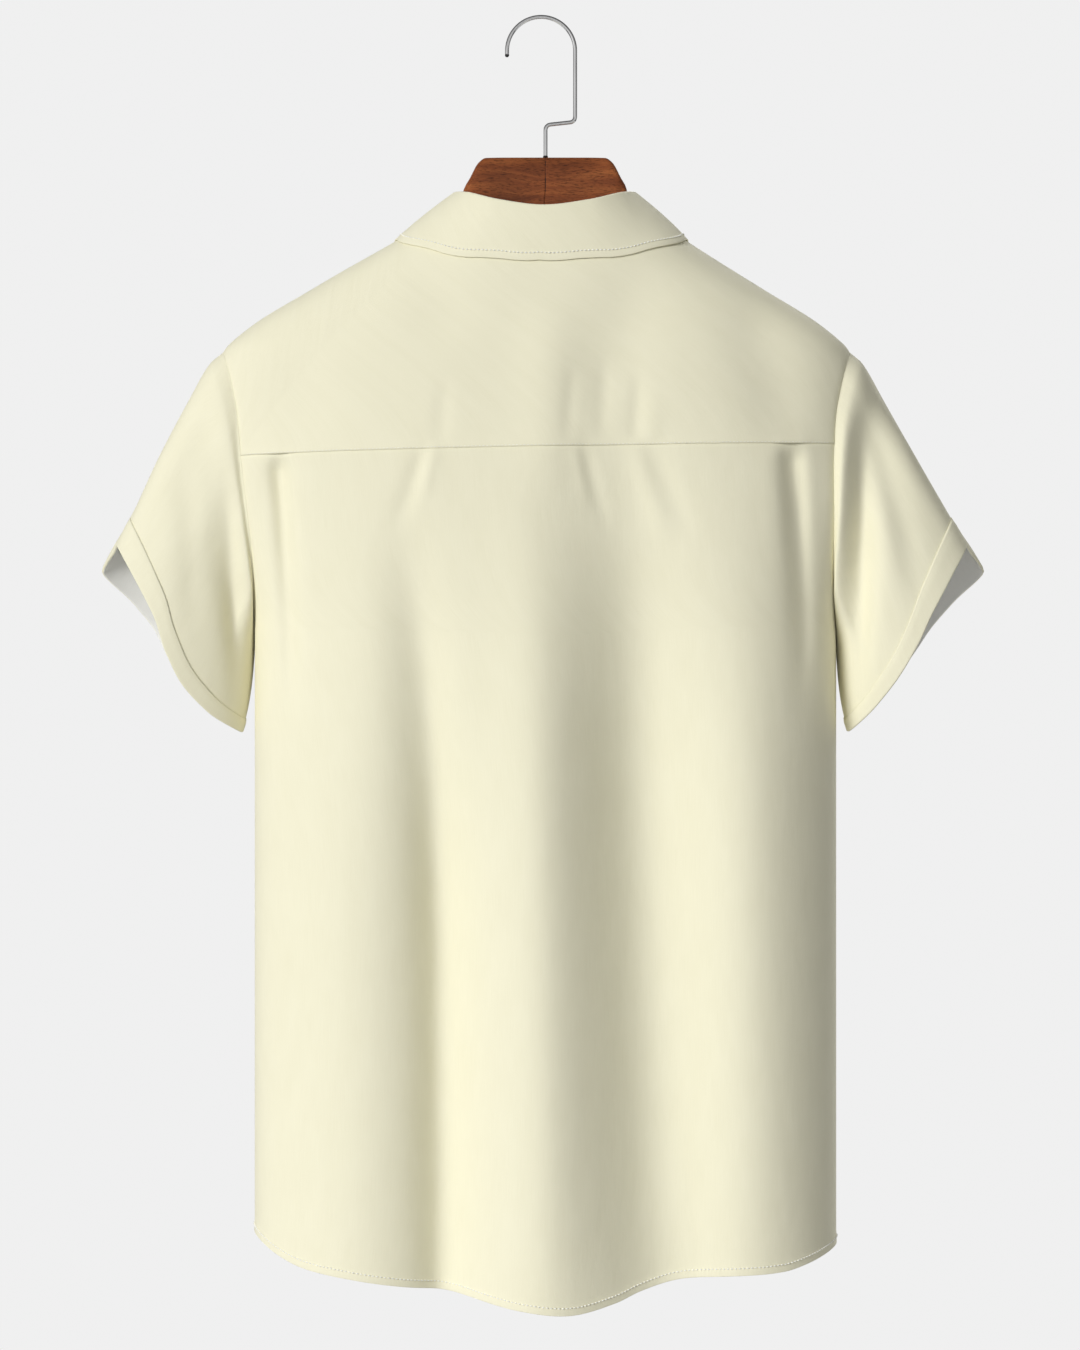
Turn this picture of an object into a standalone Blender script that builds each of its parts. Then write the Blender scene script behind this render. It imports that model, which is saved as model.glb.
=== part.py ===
"""A short-sleeved shirt hanging on a wooden hanger.

Units are metres, +Z is up, the shirt's front faces -Y and its wearer's left is +X. The origin is the
inner top of the hanger's hook, where a rail carries it. Every cloth piece is a wall of one thickness,
and the face that its points describe is the outer one.
"""

from collections import namedtuple
from math import cos, pi, radians, sin

import bmesh
import bpy
import numpy as np

MID_X = -0.0032  # the shirt's middle, which hangs a little to one side of the hook's seat
CLOTH = 0.0014  # thickness of every wall
SEAM = 0.00025  # how far each piece stops short of a seam's line
SHOULDER_GAP = 0.0011  # the same for the fronts at the shoulder seam, where the cloth bends
SIDE_GAP = 0.0005  # and for each panel at a side seam
ROUNDNESS = 2.3  # exponent of the body's cross-section, where 2 is an ellipse
SIDE_FADE = 8  # exponent with which the folds fade out towards the side seams
HEM_HALF_WIDTH = 0.2090
MERGE = 1e-6  # points closer than this become one
PROBE = 0.001  # step with which a surface's slope is found
SEAM_ROUNDS = 20  # in which a seam's end on the armhole is found

# The body's outline, row by row down from the top of the shoulder line.
Section = namedtuple("Section", "z half_width back_depth front_depth")
SECTIONS = (
    Section(-0.1195, 0.0000, 0.0340, 0.0300),
    Section(-0.1235, 0.0300, 0.0360, 0.0320),
    Section(-0.1400, 0.0700, 0.0440, 0.0400),
    Section(-0.1663, 0.1138, 0.0555, 0.0500),
    Section(-0.1951, 0.1620, 0.0630, 0.0575),
    Section(-0.2239, 0.2080, 0.0680, 0.0615),
    Section(-0.2400, 0.2250, 0.0710, 0.0640),
    Section(-0.2600, 0.2320, 0.0735, 0.0665),
    Section(-0.3000, 0.2310, 0.0780, 0.0710),
    Section(-0.3450, 0.2250, 0.0820, 0.0755),
    Section(-0.4000, 0.2140, 0.0860, 0.0800),
    Section(-0.4350, 0.2090, 0.0875, 0.0820),
    Section(-0.5000, 0.2090, 0.0900, 0.0850),
    Section(-0.7000, 0.2090, 0.0920, 0.0860),
    Section(-0.9400, 0.2090, 0.0950, 0.0870),
)

# How far the whole shirt is pulled to +X, because it hangs crooked on the hanger.
Lean = namedtuple("Lean", "z shift")
LEANS = (
    Lean(-0.1200, 0.0000),
    Lean(-0.1500, 0.0020),
    Lean(-0.1900, 0.0055),
    Lean(-0.2400, 0.0065),
    Lean(-0.3100, 0.0060),
    Lean(-0.3600, 0.0034),
    Lean(-0.4200, 0.0008),
    Lean(-0.4500, 0.0000),
)

# Long folds that run down each panel: where the fold lies at three heights, its depth (a crest's is
# negative), its half width, and between which heights it grows from nothing to its full depth.
FOLD_TOP, FOLD_MIDDLE, FOLD_HEM = -0.32, -0.55, -0.93
Fold = namedtuple("Fold", "name x_top x_middle x_hem depth width starts full sharp")
BACK_FOLDS = (
    Fold("left trough", 0.104, 0.0800, 0.0765, 0.025, 0.036, -0.300, -0.70, True),
    Fold("right trough", -0.057, -0.0720, -0.0970, 0.026, 0.036, -0.170, -0.62, False),
    Fold("middle crest", 0.004, 0.0060, 0.0060, -0.006, 0.026, -0.280, -0.60, False),
    Fold("left crest", 0.150, 0.1460, 0.1460, -0.004, 0.026, -0.340, -0.60, False),
    Fold("right crest", -0.140, -0.1360, -0.1300, -0.005, 0.022, -0.320, -0.60, False),
)
FRONT_FOLDS = (
    Fold("left trough", 0.094, 0.0860, 0.0840, 0.019, 0.034, -0.330, -0.66, False),
    Fold("right trough", -0.090, -0.0830, -0.0780, 0.021, 0.032, -0.300, -0.70, True),
    Fold("left crest", 0.140, 0.1440, 0.1460, -0.004, 0.024, -0.360, -0.60, False),
    Fold("right crest", -0.136, -0.1420, -0.1440, -0.004, 0.024, -0.340, -0.60, False),
)
FOLD_POINT = 0.008  # half width of a sharp fold's rounded bottom

# One knife pleat near each end of the seam between back and yoke.
Pleat = namedtuple("Pleat", "x depth width")
PLEATS = (Pleat(0.1830, 0.0080, 0.0060), Pleat(-0.1790, 0.0080, 0.0060))
PLEAT_LENGTH = 0.21
PLEAT_OPENS = 0.014  # below the seam, from this share of its depth to all of it
PLEAT_CLOSED = 0.2

# Seams and edges.
YOKE_SEAM_Z, YOKE_SEAM_SLOPE = -0.3124, -0.0203
SHOULDER_SEAM = -0.148  # the yoke's front seam, as a place over the shoulder
NECK_WIDTH, NECK_REACH = 0.0715, 0.344
SHOULDER_Z, UNDERARM_Z = -0.2400, -0.4350
SHOULDER_LINE_END_Z, SHOULDER_LINE_POINTS = -0.2600, 4000
Edge = namedtuple("Edge", "z x")
ARMHOLE_EDGE = (
    Edge(-0.2400, 0.2250),
    Edge(-0.2600, 0.2185),
    Edge(-0.2900, 0.2125),
    Edge(-0.3450, 0.2090),
    Edge(-0.4000, 0.2067),
    Edge(-0.4350, 0.2090),
)
LAP = 0.018  # how far each front reaches past the middle
FRONT_EDGE = (
    Edge(-0.1600, 0.0740),
    Edge(-0.1750, 0.0580),
    Edge(-0.1900, 0.0475),
    Edge(-0.2300, 0.0250),
    Edge(-0.2700, 0.0022),
    Edge(-0.3000, -0.0150),
    Edge(-0.3120, -LAP),
    Edge(-0.9400, -LAP),
)
LAP_RISE = 0.0012  # the left front lies this far out of the body's surface, and the right one in
LAP_FADE = (0.018, 0.050)
BACK_HEM = (
    Edge(-0.8790, -0.2090),
    Edge(-0.8870, -0.1860),
    Edge(-0.8911, -0.1680),
    Edge(-0.8933, -0.1330),
    Edge(-0.8958, -0.1000),
    Edge(-0.9042, -0.0660),
    Edge(-0.9105, -0.0490),
    Edge(-0.9165, -0.0150),
    Edge(-0.9133, 0.0180),
    Edge(-0.9071, 0.0515),
    Edge(-0.8996, 0.1020),
    Edge(-0.8947, 0.1350),
    Edge(-0.8888, 0.1710),
    Edge(-0.8821, 0.1890),
    Edge(-0.8704, 0.2090),
)
FRONT_HEM = (
    Edge(-0.8790, -0.2090),
    Edge(-0.8905, -0.1700),
    Edge(-0.8935, -0.1000),
    Edge(-0.8985, -0.0500),
    Edge(-0.8965, 0.0000),
    Edge(-0.8990, 0.0500),
    Edge(-0.8930, 0.1100),
    Edge(-0.8850, 0.1700),
    Edge(-0.8704, 0.2090),
)

# The collar, from the middle of the back (0) to its front end (1): its fold line, and its outer edge
# as a place on the shoulders. The stand rises from the neck's edge, the last part along the front.
Collar = namedtuple("Collar", "at fold_x fold_y fold_z edge_x edge_over")
COLLAR = (
    Collar(0.00, 0.0000, 0.0490, -0.1400, 0.0000, 0.2470),
    Collar(0.22, 0.0320, 0.0440, -0.1355, 0.0460, 0.2240),
    Collar(0.40, 0.0550, 0.0260, -0.1280, 0.0760, 0.1660),
    Collar(0.58, 0.0640, 0.0020, -0.1255, 0.1020, 0.0000),
    Collar(0.72, 0.0630, -0.0200, -0.1330, 0.1060, -0.1200),
    Collar(0.86, 0.0565, -0.0400, -0.1540, 0.1045, -0.1900),
    Collar(1.00, 0.0490, -0.0570, -0.1835, 0.0990, -0.2380),
)
COLLAR_SHOULDER = 0.78  # where the collar passes the shoulder seam
COLLAR_ENDS_Z = -0.1862
COLLAR_ROLL = 0.0022
COLLAR_RISE = 0.0024  # of its edge's outer face over the yoke
COLLAR_BULGE = 0.0015
STAND_GAP = 0.0007

# The turned-back facings, which lie on the fronts from the collar to the top button.
Spot = namedtuple("Spot", "x z")
LAPEL_TOP_Z, LAPEL_NOTCH, LAPEL_POINT = -0.1880, Spot(0.0735, -0.2008), Spot(0.0920, -0.2260)
LAPEL_BELLY = 0.006
LEFT_LAPEL_FOOT_Z, LEFT_LAPEL_TIP = -0.2990, Spot(-0.0130, -0.3035)
RIGHT_LAPEL_FOOT_Z, RIGHT_LAPEL_TIP = -0.2620, Spot(0.0150, -0.2880)
LAPEL_ROLL, LAPEL_RISE, LAPEL_CLEAR = 0.0020, 0.0024, 0.0004

# Sleeves, in the plane of the shirt: the turned-up end's highest and lowest points, and the
# directions in which the top and bottom lines leave the armhole and arrive there.
CUFF_TOP, CUFF_BOTTOM = Spot(0.3053, -0.3787), Spot(0.2175, -0.5120)
CUFF_HALF_DEPTH = 0.040
CUFF_FULLNESS = 0.85  # exponent of the opening's depth, where 1 is an ellipse
SLEEVE_TOP_RUN = (0.085, radians(-40), 0.160, radians(-61))
SLEEVE_BOTTOM_RUN = (0.070, radians(-90), 0.070, radians(-70))
# The sleeve's front half reaches past its back half, so its inside shows from behind.
Reach = namedtuple("Reach", "around past")
FRONT_REACHES = (
    Reach(0, 0.0000),
    Reach(12, 0.0060),
    Reach(28, 0.0225),
    Reach(60, 0.0150),
    Reach(90, 0.0080),
    Reach(135, 0.0025),
    Reach(180, 0.0000),
    Reach(360, 0.0000),
)
# Between its highest and lowest points the turned-up end bows outwards, more on the left.
Bow = namedtuple("Bow", "down share")
CUFF_BOW = (Bow(0, 0), Bow(0.36, 0.33), Bow(0.52, 0.78), Bow(0.68, 1), Bow(0.84, 0.77), Bow(1, 0.1))
CUFF_BOW_DEPTH = {1: 0.0155, -1: 0.0066}
Crease = namedtuple("Crease", "side around along depth width_around width_along")
SLEEVE_CREASES = (
    Crease(1, 90, 0.14, -0.0040, 60, 0.09),
    Crease(1, 100, 0.38, 0.0065, 34, 0.13),
    Crease(1, 45, 0.60, 0.0030, 16, 0.30),
    Crease(1, 265, 0.40, 0.0055, 34, 0.14),
    Crease(-1, 90, 0.14, -0.0045, 60, 0.09),
    Crease(-1, 95, 0.36, 0.0070, 40, 0.12),
    Crease(-1, 50, 0.55, 0.0030, 14, 0.34),
    Crease(-1, 270, 0.42, 0.0055, 34, 0.14),
)
UNDERARM_PLAIN = 60  # degrees each side of the underarm in which the creases fade out
ARMHOLE_PLAIN = 0.12  # the same from the armhole, as a share of the sleeve's length
SLEEVE_END = 0.993  # the sleeve's own wall stops a little inside the band
CUFF_BAND = 0.13  # share of the sleeve's length that the turned-up band covers
CUFF_RISE = 0.0021

BUTTONS = 6
BUTTON_TOP_Z, BUTTON_PITCH = -0.312, 0.095
BUTTON_GAP = 0.0003
ButtonTurn = namedtuple("ButtonTurn", "radius height")
BUTTON_PROFILE = (
    ButtonTurn(0.0000, 0.0016),
    ButtonTurn(0.0030, 0.0016),
    ButtonTurn(0.0040, 0.0024),
    ButtonTurn(0.0052, 0.0024),
    ButtonTurn(0.0058, 0.0016),
    ButtonTurn(0.0056, 0.0006),
    ButtonTurn(0.0040, 0.0000),
    ButtonTurn(0.0000, 0.0000),
)

# The hanger: the outline of one half, and how thick it is. Where the shirt lies on it, its top
# follows the shoulders.
Wood = namedtuple("Wood", "x top bottom half_depth")
WOOD = (
    Wood(0.0000, -0.1001, -0.1500, 0.0078),
    Wood(0.0250, -0.1001, -0.1540, 0.0078),
    Wood(0.0430, -0.1003, -0.1620, 0.0079),
    Wood(0.0480, -0.1035, -0.1648, 0.0080),
    Wood(0.0545, -0.1150, -0.1685, 0.0082),
    Wood(0.0590, -0.1240, -0.1710, 0.0084),
    Wood(0.0602, -0.1330, -0.1720, 0.0085),
    Wood(0.0612, -0.1405, -0.1725, 0.0085),
    Wood(0.0660, -0.1430, -0.1750, 0.0088),
    Wood(0.0850, -0.1500, -0.1835, 0.0100),
    Wood(0.1100, -0.1650, -0.1965, 0.0115),
    Wood(0.1400, -0.1830, -0.2130, 0.0128),
    Wood(0.1700, -0.2010, -0.2300, 0.0138),
    Wood(0.1880, -0.2130, -0.2405, 0.0138),
    Wood(0.1950, -0.2190, -0.2420, 0.0115),
    Wood(0.1985, -0.2250, -0.2390, 0.0070),
)
WOOD_BLOCK_X, WOOD_ARM_X = 0.043, 0.080  # where the flat top ends, and where the shoulders begin
WOOD_GAP = 0.0009  # under the yoke
WOOD_ROUNDNESS = 2.8
WOOD_HALF_JOINT = 0.00015

WIRE = 0.0018  # radius
HOOK_RADIUS = 0.0245  # to the wire's middle
HOOK_TIP_DROP = 0.003
HOOK_BAR_Z = -0.0680
HOOK_JOG_START_Z, HOOK_JOG_END_Z = -0.0741, -0.0764
HOOK_BEND = 0.004

# How finely each piece is divided.
BACK_COLUMNS, FRONT_COLUMNS, SIDE_ROWS = 44, 21, 9
UNDER_STEPS, YOKE_BACK_STEPS, YOKE_FRONT_STEPS, FRONT_STEPS = 8, 6, 3, 10
YOKE_SEAM_COLUMNS, YOKE_CORNER_TURN, YOKE_ROWS = 22, 40.0, 7
LAPEL_EDGE_STEPS, LAPEL_ROLL_TURNS, LAPEL_ROLL_STEPS, LAPEL_FLAT_STEPS = (3, 7), (205, 90), 6, 5
COLLAR_STATIONS, COLLAR_STAND_ROWS, COLLAR_ROLL_ROWS, COLLAR_FALL_ROWS = 37, 2, 6, 4
SLEEVE_RINGS, BAND_RINGS = 10, 4
BUTTON_SIDES, WOOD_SIDES, HOOK_TURNS, HOOK_BEND_POINTS = 12, 16, 25, 6
# Where a panel's columns crowd together, in shares of its half width.
Crowd = namedtuple("Crowd", "at width weight")
BACK_CROWDS = (
    Crowd(0.871, 0.03, 1.6),
    Crowd(-0.852, 0.03, 1.6),
    Crowd(0.390, 0.09, 0.9),
    Crowd(-0.340, 0.16, 0.3),
)
FRONT_CROWDS = (Crowd(-0.92, 0.05, 1.5),)

CREAM = (0.871, 0.835, 0.584, 1)
PEARL = (0.880, 0.860, 0.740, 1)
WALNUT = (0.171, 0.051, 0.023, 1)
STEEL = (0.620, 0.620, 0.620, 1)


def smooth_curve(keys, values):
    """A function that runs smoothly through the values, with no overshoot between them."""
    order = np.argsort(keys)
    at, value = np.array(keys, float)[order], np.array(values, float)[order]
    step, slope = np.diff(at), np.diff(value) / np.diff(at)
    tangent = np.concatenate([slope[:1], np.zeros(len(slope) - 1), slope[-1:]])
    for k in range(1, len(slope)):
        if slope[k - 1] * slope[k] > 0:
            near, far = 2 * step[k] + step[k - 1], step[k] + 2 * step[k - 1]
            tangent[k] = (near + far) / (near / slope[k - 1] + far / slope[k])

    def read(key):
        key = np.clip(key, at[0], at[-1])
        k = np.clip(np.searchsorted(at, key) - 1, 0, len(step) - 1)
        t = (key - at[k]) / step[k]
        return (
            (1 + 2 * t) * (1 - t) ** 2 * value[k]
            + t * (1 - t) ** 2 * step[k] * tangent[k]
            + t * t * (3 - 2 * t) * value[k + 1]
            - t * t * (1 - t) * step[k] * tangent[k + 1]
        )

    return read


def column(rows, key, value):
    return smooth_curve([getattr(row, key) for row in rows], [getattr(row, value) for row in rows])


half_width = column(SECTIONS, "z", "half_width")
back_depth = column(SECTIONS, "z", "back_depth")
front_depth = column(SECTIONS, "z", "front_depth")
lean = column(LEANS, "z", "shift")
armhole_x = column(ARMHOLE_EDGE, "z", "x")
front_edge_x = column(FRONT_EDGE, "z", "x")
back_hem_z = column(BACK_HEM, "x", "z")
front_hem_z = column(FRONT_HEM, "x", "z")
cuff_bow = column(CUFF_BOW, "down", "share")
front_reach = column(FRONT_REACHES, "around", "past")
wood_top = column(WOOD, "x", "top")
wood_bottom = column(WOOD, "x", "bottom")
wood_half_depth = column(WOOD, "x", "half_depth")

SHOULDER_LINE_Z = np.linspace(SHOULDER_LINE_END_Z, SECTIONS[0].z, SHOULDER_LINE_POINTS)
SHOULDER_LINE_X = half_width(SHOULDER_LINE_Z)


def ridge_z(x):
    """Height of the shoulder line, where the body's front and back meet."""
    return np.interp(np.abs(x), SHOULDER_LINE_X[::-1], SHOULDER_LINE_Z[::-1])


def ease(t):
    t = np.clip(t, 0, 1)
    return t * t * (3 - 2 * t)


def fold_depth(folds, x, z):
    """How far the folds push the panel in at each place."""
    total = 0 * x
    for fold in folds:
        middle = smooth_curve((FOLD_TOP, FOLD_MIDDLE, FOLD_HEM), (fold.x_top, fold.x_middle, fold.x_hem))
        across = x - middle(z)
        grown = ease((z - fold.starts) / (fold.full - fold.starts))
        if fold.sharp:
            shape = np.exp((FOLD_POINT - np.sqrt(across**2 + FOLD_POINT**2)) / fold.width)
        else:
            shape = np.exp(-0.5 * (across / fold.width) ** 2)
        total = total + fold.depth * grown * shape
    return total


def pleat_depth(x, z):
    total = 0 * x
    for pleat in PLEATS:
        below = YOKE_SEAM_Z + YOKE_SEAM_SLOPE * x - z
        open_ = blend(PLEAT_CLOSED, 1, ease(below / PLEAT_OPENS))
        fade = 1 - ease(below / PLEAT_LENGTH)
        shape = np.exp(-0.5 * ((x - pleat.x) / pleat.width) ** 2)
        total = total + np.where(below >= 0, pleat.depth * open_ * fade * shape, 0)
    return total


def body_y(x, z, back, pleats=False):
    """The body's outer face: how far behind the middle it lies, or in front of it, at (x, z)."""
    width = np.maximum(half_width(z), 1e-6)
    share = np.clip(np.abs(x) / width, 0, 1)
    depth = (back_depth(z) if back else front_depth(z)) * (1 - share**ROUNDNESS) ** (1 / ROUNDNESS)
    pushed = fold_depth(BACK_FOLDS if back else FRONT_FOLDS, x, z)
    if pleats:
        pushed = pushed + pleat_depth(x, z)
    depth = np.maximum(depth - pushed * (1 - share**SIDE_FADE), 0)
    return depth if back else -depth


def over_shoulder(x, over):
    """A point of the yoke. The root of its drop below the shoulder line is "over", negative in front."""
    x, over = np.broadcast_arrays(x, over)
    z = ridge_z(x) - over**2
    y = np.where(over >= 0, body_y(x, z, True), body_y(x, z, False))
    return np.stack([x, y, z], axis=-1)


def armhole(angles):
    """(x, z) along the armhole's edge: 0 degrees is the shoulder's end and 180 the underarm."""
    middle, half = (SHOULDER_Z + UNDERARM_Z) / 2, (SHOULDER_Z - UNDERARM_Z) / 2
    z = middle + half * np.cos(np.radians(angles))
    return armhole_x(z), z


def angle_at(z):
    middle, half = (SHOULDER_Z + UNDERARM_Z) / 2, (SHOULDER_Z - UNDERARM_Z) / 2
    return float(np.degrees(np.arccos((z - middle) / half)))


def yoke_seam_angle(side):
    """Where the yoke's back seam meets the armhole."""
    z = YOKE_SEAM_Z
    for _ in range(SEAM_ROUNDS):
        z = YOKE_SEAM_Z + YOKE_SEAM_SLOPE * side * armhole_x(z)
    return angle_at(z)


def shoulder_seam_angle():
    z = SHOULDER_Z
    for _ in range(SEAM_ROUNDS):
        z = ridge_z(armhole_x(z)) - SHOULDER_SEAM**2
    return angle_at(z)


def back_angles(side):
    """Places round the armhole. The same ones serve the panel and the sleeve that it meets."""
    return np.linspace(yoke_seam_angle(side), 180, UNDER_STEPS + 1)


def yoke_angles(side):
    """From the back seam over the shoulder to the front one. The front's angles are negative."""
    behind = np.linspace(yoke_seam_angle(side), 0, YOKE_BACK_STEPS + 1)
    before = np.linspace(0, -shoulder_seam_angle(), YOKE_FRONT_STEPS + 1)
    return np.concatenate([behind, before[1:]])


def front_angles():
    return np.linspace(shoulder_seam_angle(), 180, FRONT_STEPS + 1)


def normals_of(points, closed=False):
    """Unit normals of a grid of points, whose rows may close into rings."""
    if closed:
        along = np.roll(points, -1, axis=1) - np.roll(points, 1, axis=1)
    else:
        along = np.gradient(points, axis=1)
    cross = np.cross(along, np.gradient(points, axis=0))
    return cross / np.linalg.norm(cross, axis=-1, keepdims=True)


def spread(count, crowds=(), edge=0.85):
    """Places from -1 to 1, closer together towards both ends and round each crowd (at, width, weight)."""
    at = np.linspace(-1, 1, 2001)
    density = 1 / np.sqrt(1.0 + (1 - edge) ** 2 - at**2 * edge)
    for middle, width, weight in crowds:
        density = density + weight * np.exp(-0.5 * ((at - middle) / width) ** 2)
    total = np.concatenate([[0], np.cumsum((density[1:] + density[:-1]) / 2)])
    return np.interp(np.linspace(0, total[-1], count + 1), total, at)


def blend(first, second, t):
    return first + (second - first) * t


def material(name, colour, roughness, metallic=0.0):
    made = bpy.data.materials.new(name)
    made.use_nodes = True
    shader = made.node_tree.nodes["Principled BSDF"]
    shader.inputs["Base Color"].default_value = colour
    shader.inputs["Roughness"].default_value = roughness
    shader.inputs["Metallic"].default_value = metallic
    made.diffuse_color = colour
    return made


def add_object(name, data, surface):
    """Puts a piece in the shirt's collection, hanging from the empty at its middle."""
    made = bpy.data.objects.new(name, data)
    data.materials.append(material(name, *surface))
    bpy.data.collections["hawaiian_shirt_on_hanger"].objects.link(made)
    made.parent = bpy.data.objects["shirt_middle"]
    return made


def grid_mesh(name, points, closed):
    """A mesh whose grid follows the points, rows of columns. Each row may close into a ring."""
    if closed:
        points = np.concatenate([points, points[:, :1]], axis=1)
    rows, columns = points.shape[:2]
    shape = bmesh.new()
    bmesh.ops.create_grid(shape, x_segments=columns - 1, y_segments=rows - 1, size=1)
    shape.verts.ensure_lookup_table()
    for vertex, point in zip(shape.verts, points.reshape(-1, 3)):
        vertex.co = point
    bmesh.ops.remove_doubles(shape, verts=shape.verts, dist=MERGE)
    mesh = bpy.data.meshes.new(name)
    shape.to_mesh(mesh)
    shape.free()
    return mesh


def cloth(name, points, closed=False):
    """A wall of cloth. Seen from outside, columns run to the right when rows run up."""
    points = points.copy()
    points[..., 0] += lean(points[..., 2])
    mesh = grid_mesh(name, points, closed)
    made = add_object(name, mesh, (CREAM, 0.65))
    wall = made.modifiers.new("wall", "SOLIDIFY")
    wall.thickness = CLOTH
    wall.offset = -1
    mesh.shade_smooth()
    return made


def build_back():
    """Below the yoke: its rows follow the armhole's points, then the side seam down to the hem."""
    across = spread(BACK_COLUMNS, BACK_CROWDS)
    sides = {}
    for side in (-1, 1):
        x, z = armhole(back_angles(side))
        lower = np.linspace(UNDERARM_Z, back_hem_z(side * HEM_HALF_WIDTH), SIDE_ROWS + 1)[1:]
        z = np.concatenate([z, lower])
        x = np.concatenate([x, half_width(lower)])
        sides[side] = (x, z)
    points = np.zeros((len(z), len(across), 3))
    share = {side: (z - z[0]) / np.ptp(z) for side, (_, z) in sides.items()}
    for col, at in enumerate(across):
        side = 1 if at > 0 else -1
        x = at * sides[side][0]
        down = -blend(share[-1], share[1], (1 + at) / 2)
        seam = YOKE_SEAM_Z + YOKE_SEAM_SLOPE * x[0] - SEAM
        z = blend(seam, back_hem_z(x[-1]), down)
        points[:, col] = np.stack([x, body_y(x, z, True, pleats=True), z], axis=-1)
    for col in (0, -1):
        points[:, col, 1] = np.maximum(points[:, col, 1], SIDE_GAP)
    cloth("back", points)


def neckline(turn):
    """The neck's edge on the yoke: 0 is the middle of the back, 90 degrees the shoulder seam."""
    turn = np.radians(turn)
    return NECK_WIDTH * np.sin(turn), SHOULDER_SEAM + NECK_REACH * np.cos(turn)


def build_yoke():
    """A strip round the neck, from one shoulder seam over the back to the other."""
    ridge_turn = float(np.degrees(np.arccos(-SHOULDER_SEAM / NECK_REACH)))
    inner, outer = [], []
    for side in (-1, 1):
        angles = yoke_angles(side)
        x, z = armhole(np.abs(angles))
        over = np.sqrt(np.maximum(ridge_z(x) - z, 0)) * np.where(angles >= 0, 1, -1)
        behind = np.linspace(YOKE_CORNER_TURN, ridge_turn, YOKE_BACK_STEPS + 1)
        before = np.linspace(ridge_turn, 90, YOKE_FRONT_STEPS + 1)
        neck_x, neck_over = neckline(np.concatenate([behind, before[1:]]))
        outer.append(np.stack([side * x, over], axis=-1))
        inner.append(np.stack([side * neck_x, neck_over], axis=-1))
    across = np.linspace(-1, 1, YOKE_SEAM_COLUMNS + 1)[1:-1]
    x = np.where(across < 0, -across * outer[0][0, 0], across * outer[1][0, 0])
    over = np.sqrt(ridge_z(x) - (YOKE_SEAM_Z + YOKE_SEAM_SLOPE * x + SEAM))
    neck_x, neck_over = neckline(np.abs(across) * YOKE_CORNER_TURN)
    outer = np.concatenate([outer[0][::-1], np.stack([x, over], axis=-1), outer[1]])
    inner = np.concatenate([inner[0][::-1], np.stack([np.sign(across) * neck_x, neck_over], axis=-1), inner[1]])
    places = np.array([blend(inner, outer, t) for t in np.linspace(0, 1, YOKE_ROWS + 1)])
    points = over_shoulder(places[..., 0], places[..., 1])
    cloth("yoke", points)


def lap_rise(x, side):
    """How far a front lies out of the body's surface near the middle, where the two fronts cross."""
    return side * LAP_RISE * (1 - ease((side * x - LAP_FADE[0]) / (LAP_FADE[1] - LAP_FADE[0])))


def front_face(x, z, side):
    return np.stack([x, body_y(x, z, False) - lap_rise(x, side), z], axis=-1)


def front_normal(x, z, side):
    across = front_face(x + PROBE, z, side) - front_face(x - PROBE, z, side)
    up = front_face(x, z + PROBE, side) - front_face(x, z - PROBE, side)
    normal = np.cross(across, up)
    return normal / np.linalg.norm(normal, axis=-1, keepdims=True)


def build_front(name, side):
    """From the shoulder seam to the hem, and from the front edge to the armhole and the side seam."""
    arm_x, arm_z = armhole(front_angles())
    lower = np.linspace(UNDERARM_Z, front_hem_z(side * HEM_HALF_WIDTH), SIDE_ROWS + 1)[1:]
    side_z = np.concatenate([arm_z, lower])
    side_x = np.concatenate([arm_x, half_width(lower)])
    down = (side_z[0] - side_z) / (side_z[0] - side_z[-1])
    seam_top = ridge_z(NECK_WIDTH) - SHOULDER_SEAM**2
    edge_bottom = float(front_hem_z(side * -LAP))
    edge_z = blend(seam_top, edge_bottom, down)
    edge_x = np.where(down > 0, front_edge_x(edge_z), NECK_WIDTH)
    share = (spread(FRONT_COLUMNS, FRONT_CROWDS) + 1) / 2
    points = np.zeros((len(side_z), len(share), 3))
    for col, t in enumerate(share):
        x = blend(edge_x, side_x, t)
        top = ridge_z(x[0]) - SHOULDER_SEAM**2
        hem = front_hem_z(side * x[-1])
        z = blend(edge_z, side_z, t)
        z = z + (1 - down) * (top - z[0]) + down * (hem - z[-1])
        points[:, col] = front_face(side * x, z, side)
    points[0, :, 2] -= SHOULDER_GAP
    points[:, -1, 1] = np.minimum(points[:, -1, 1], -SIDE_GAP)
    if side > 0:
        points = points[:, ::-1]
    cloth(name, points)


def along_path(spots, counts, bulge=0.0):
    """Points on the straight runs between spots. The last run bows outwards by the bulge."""
    found = [np.array(spots[0], float)]
    for number, count in enumerate(counts):
        start, end = np.array(spots[number], float), np.array(spots[number + 1], float)
        run = end - start
        out = np.array([-run[1], run[0]]) / np.linalg.norm(run)
        for t in np.linspace(0, 1, count + 1)[1:]:
            bow = bulge * 4 * t * (1 - t) if number == len(counts) - 1 else 0
            found.append(start + run * t + out * bow)
    return np.array(found)


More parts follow.
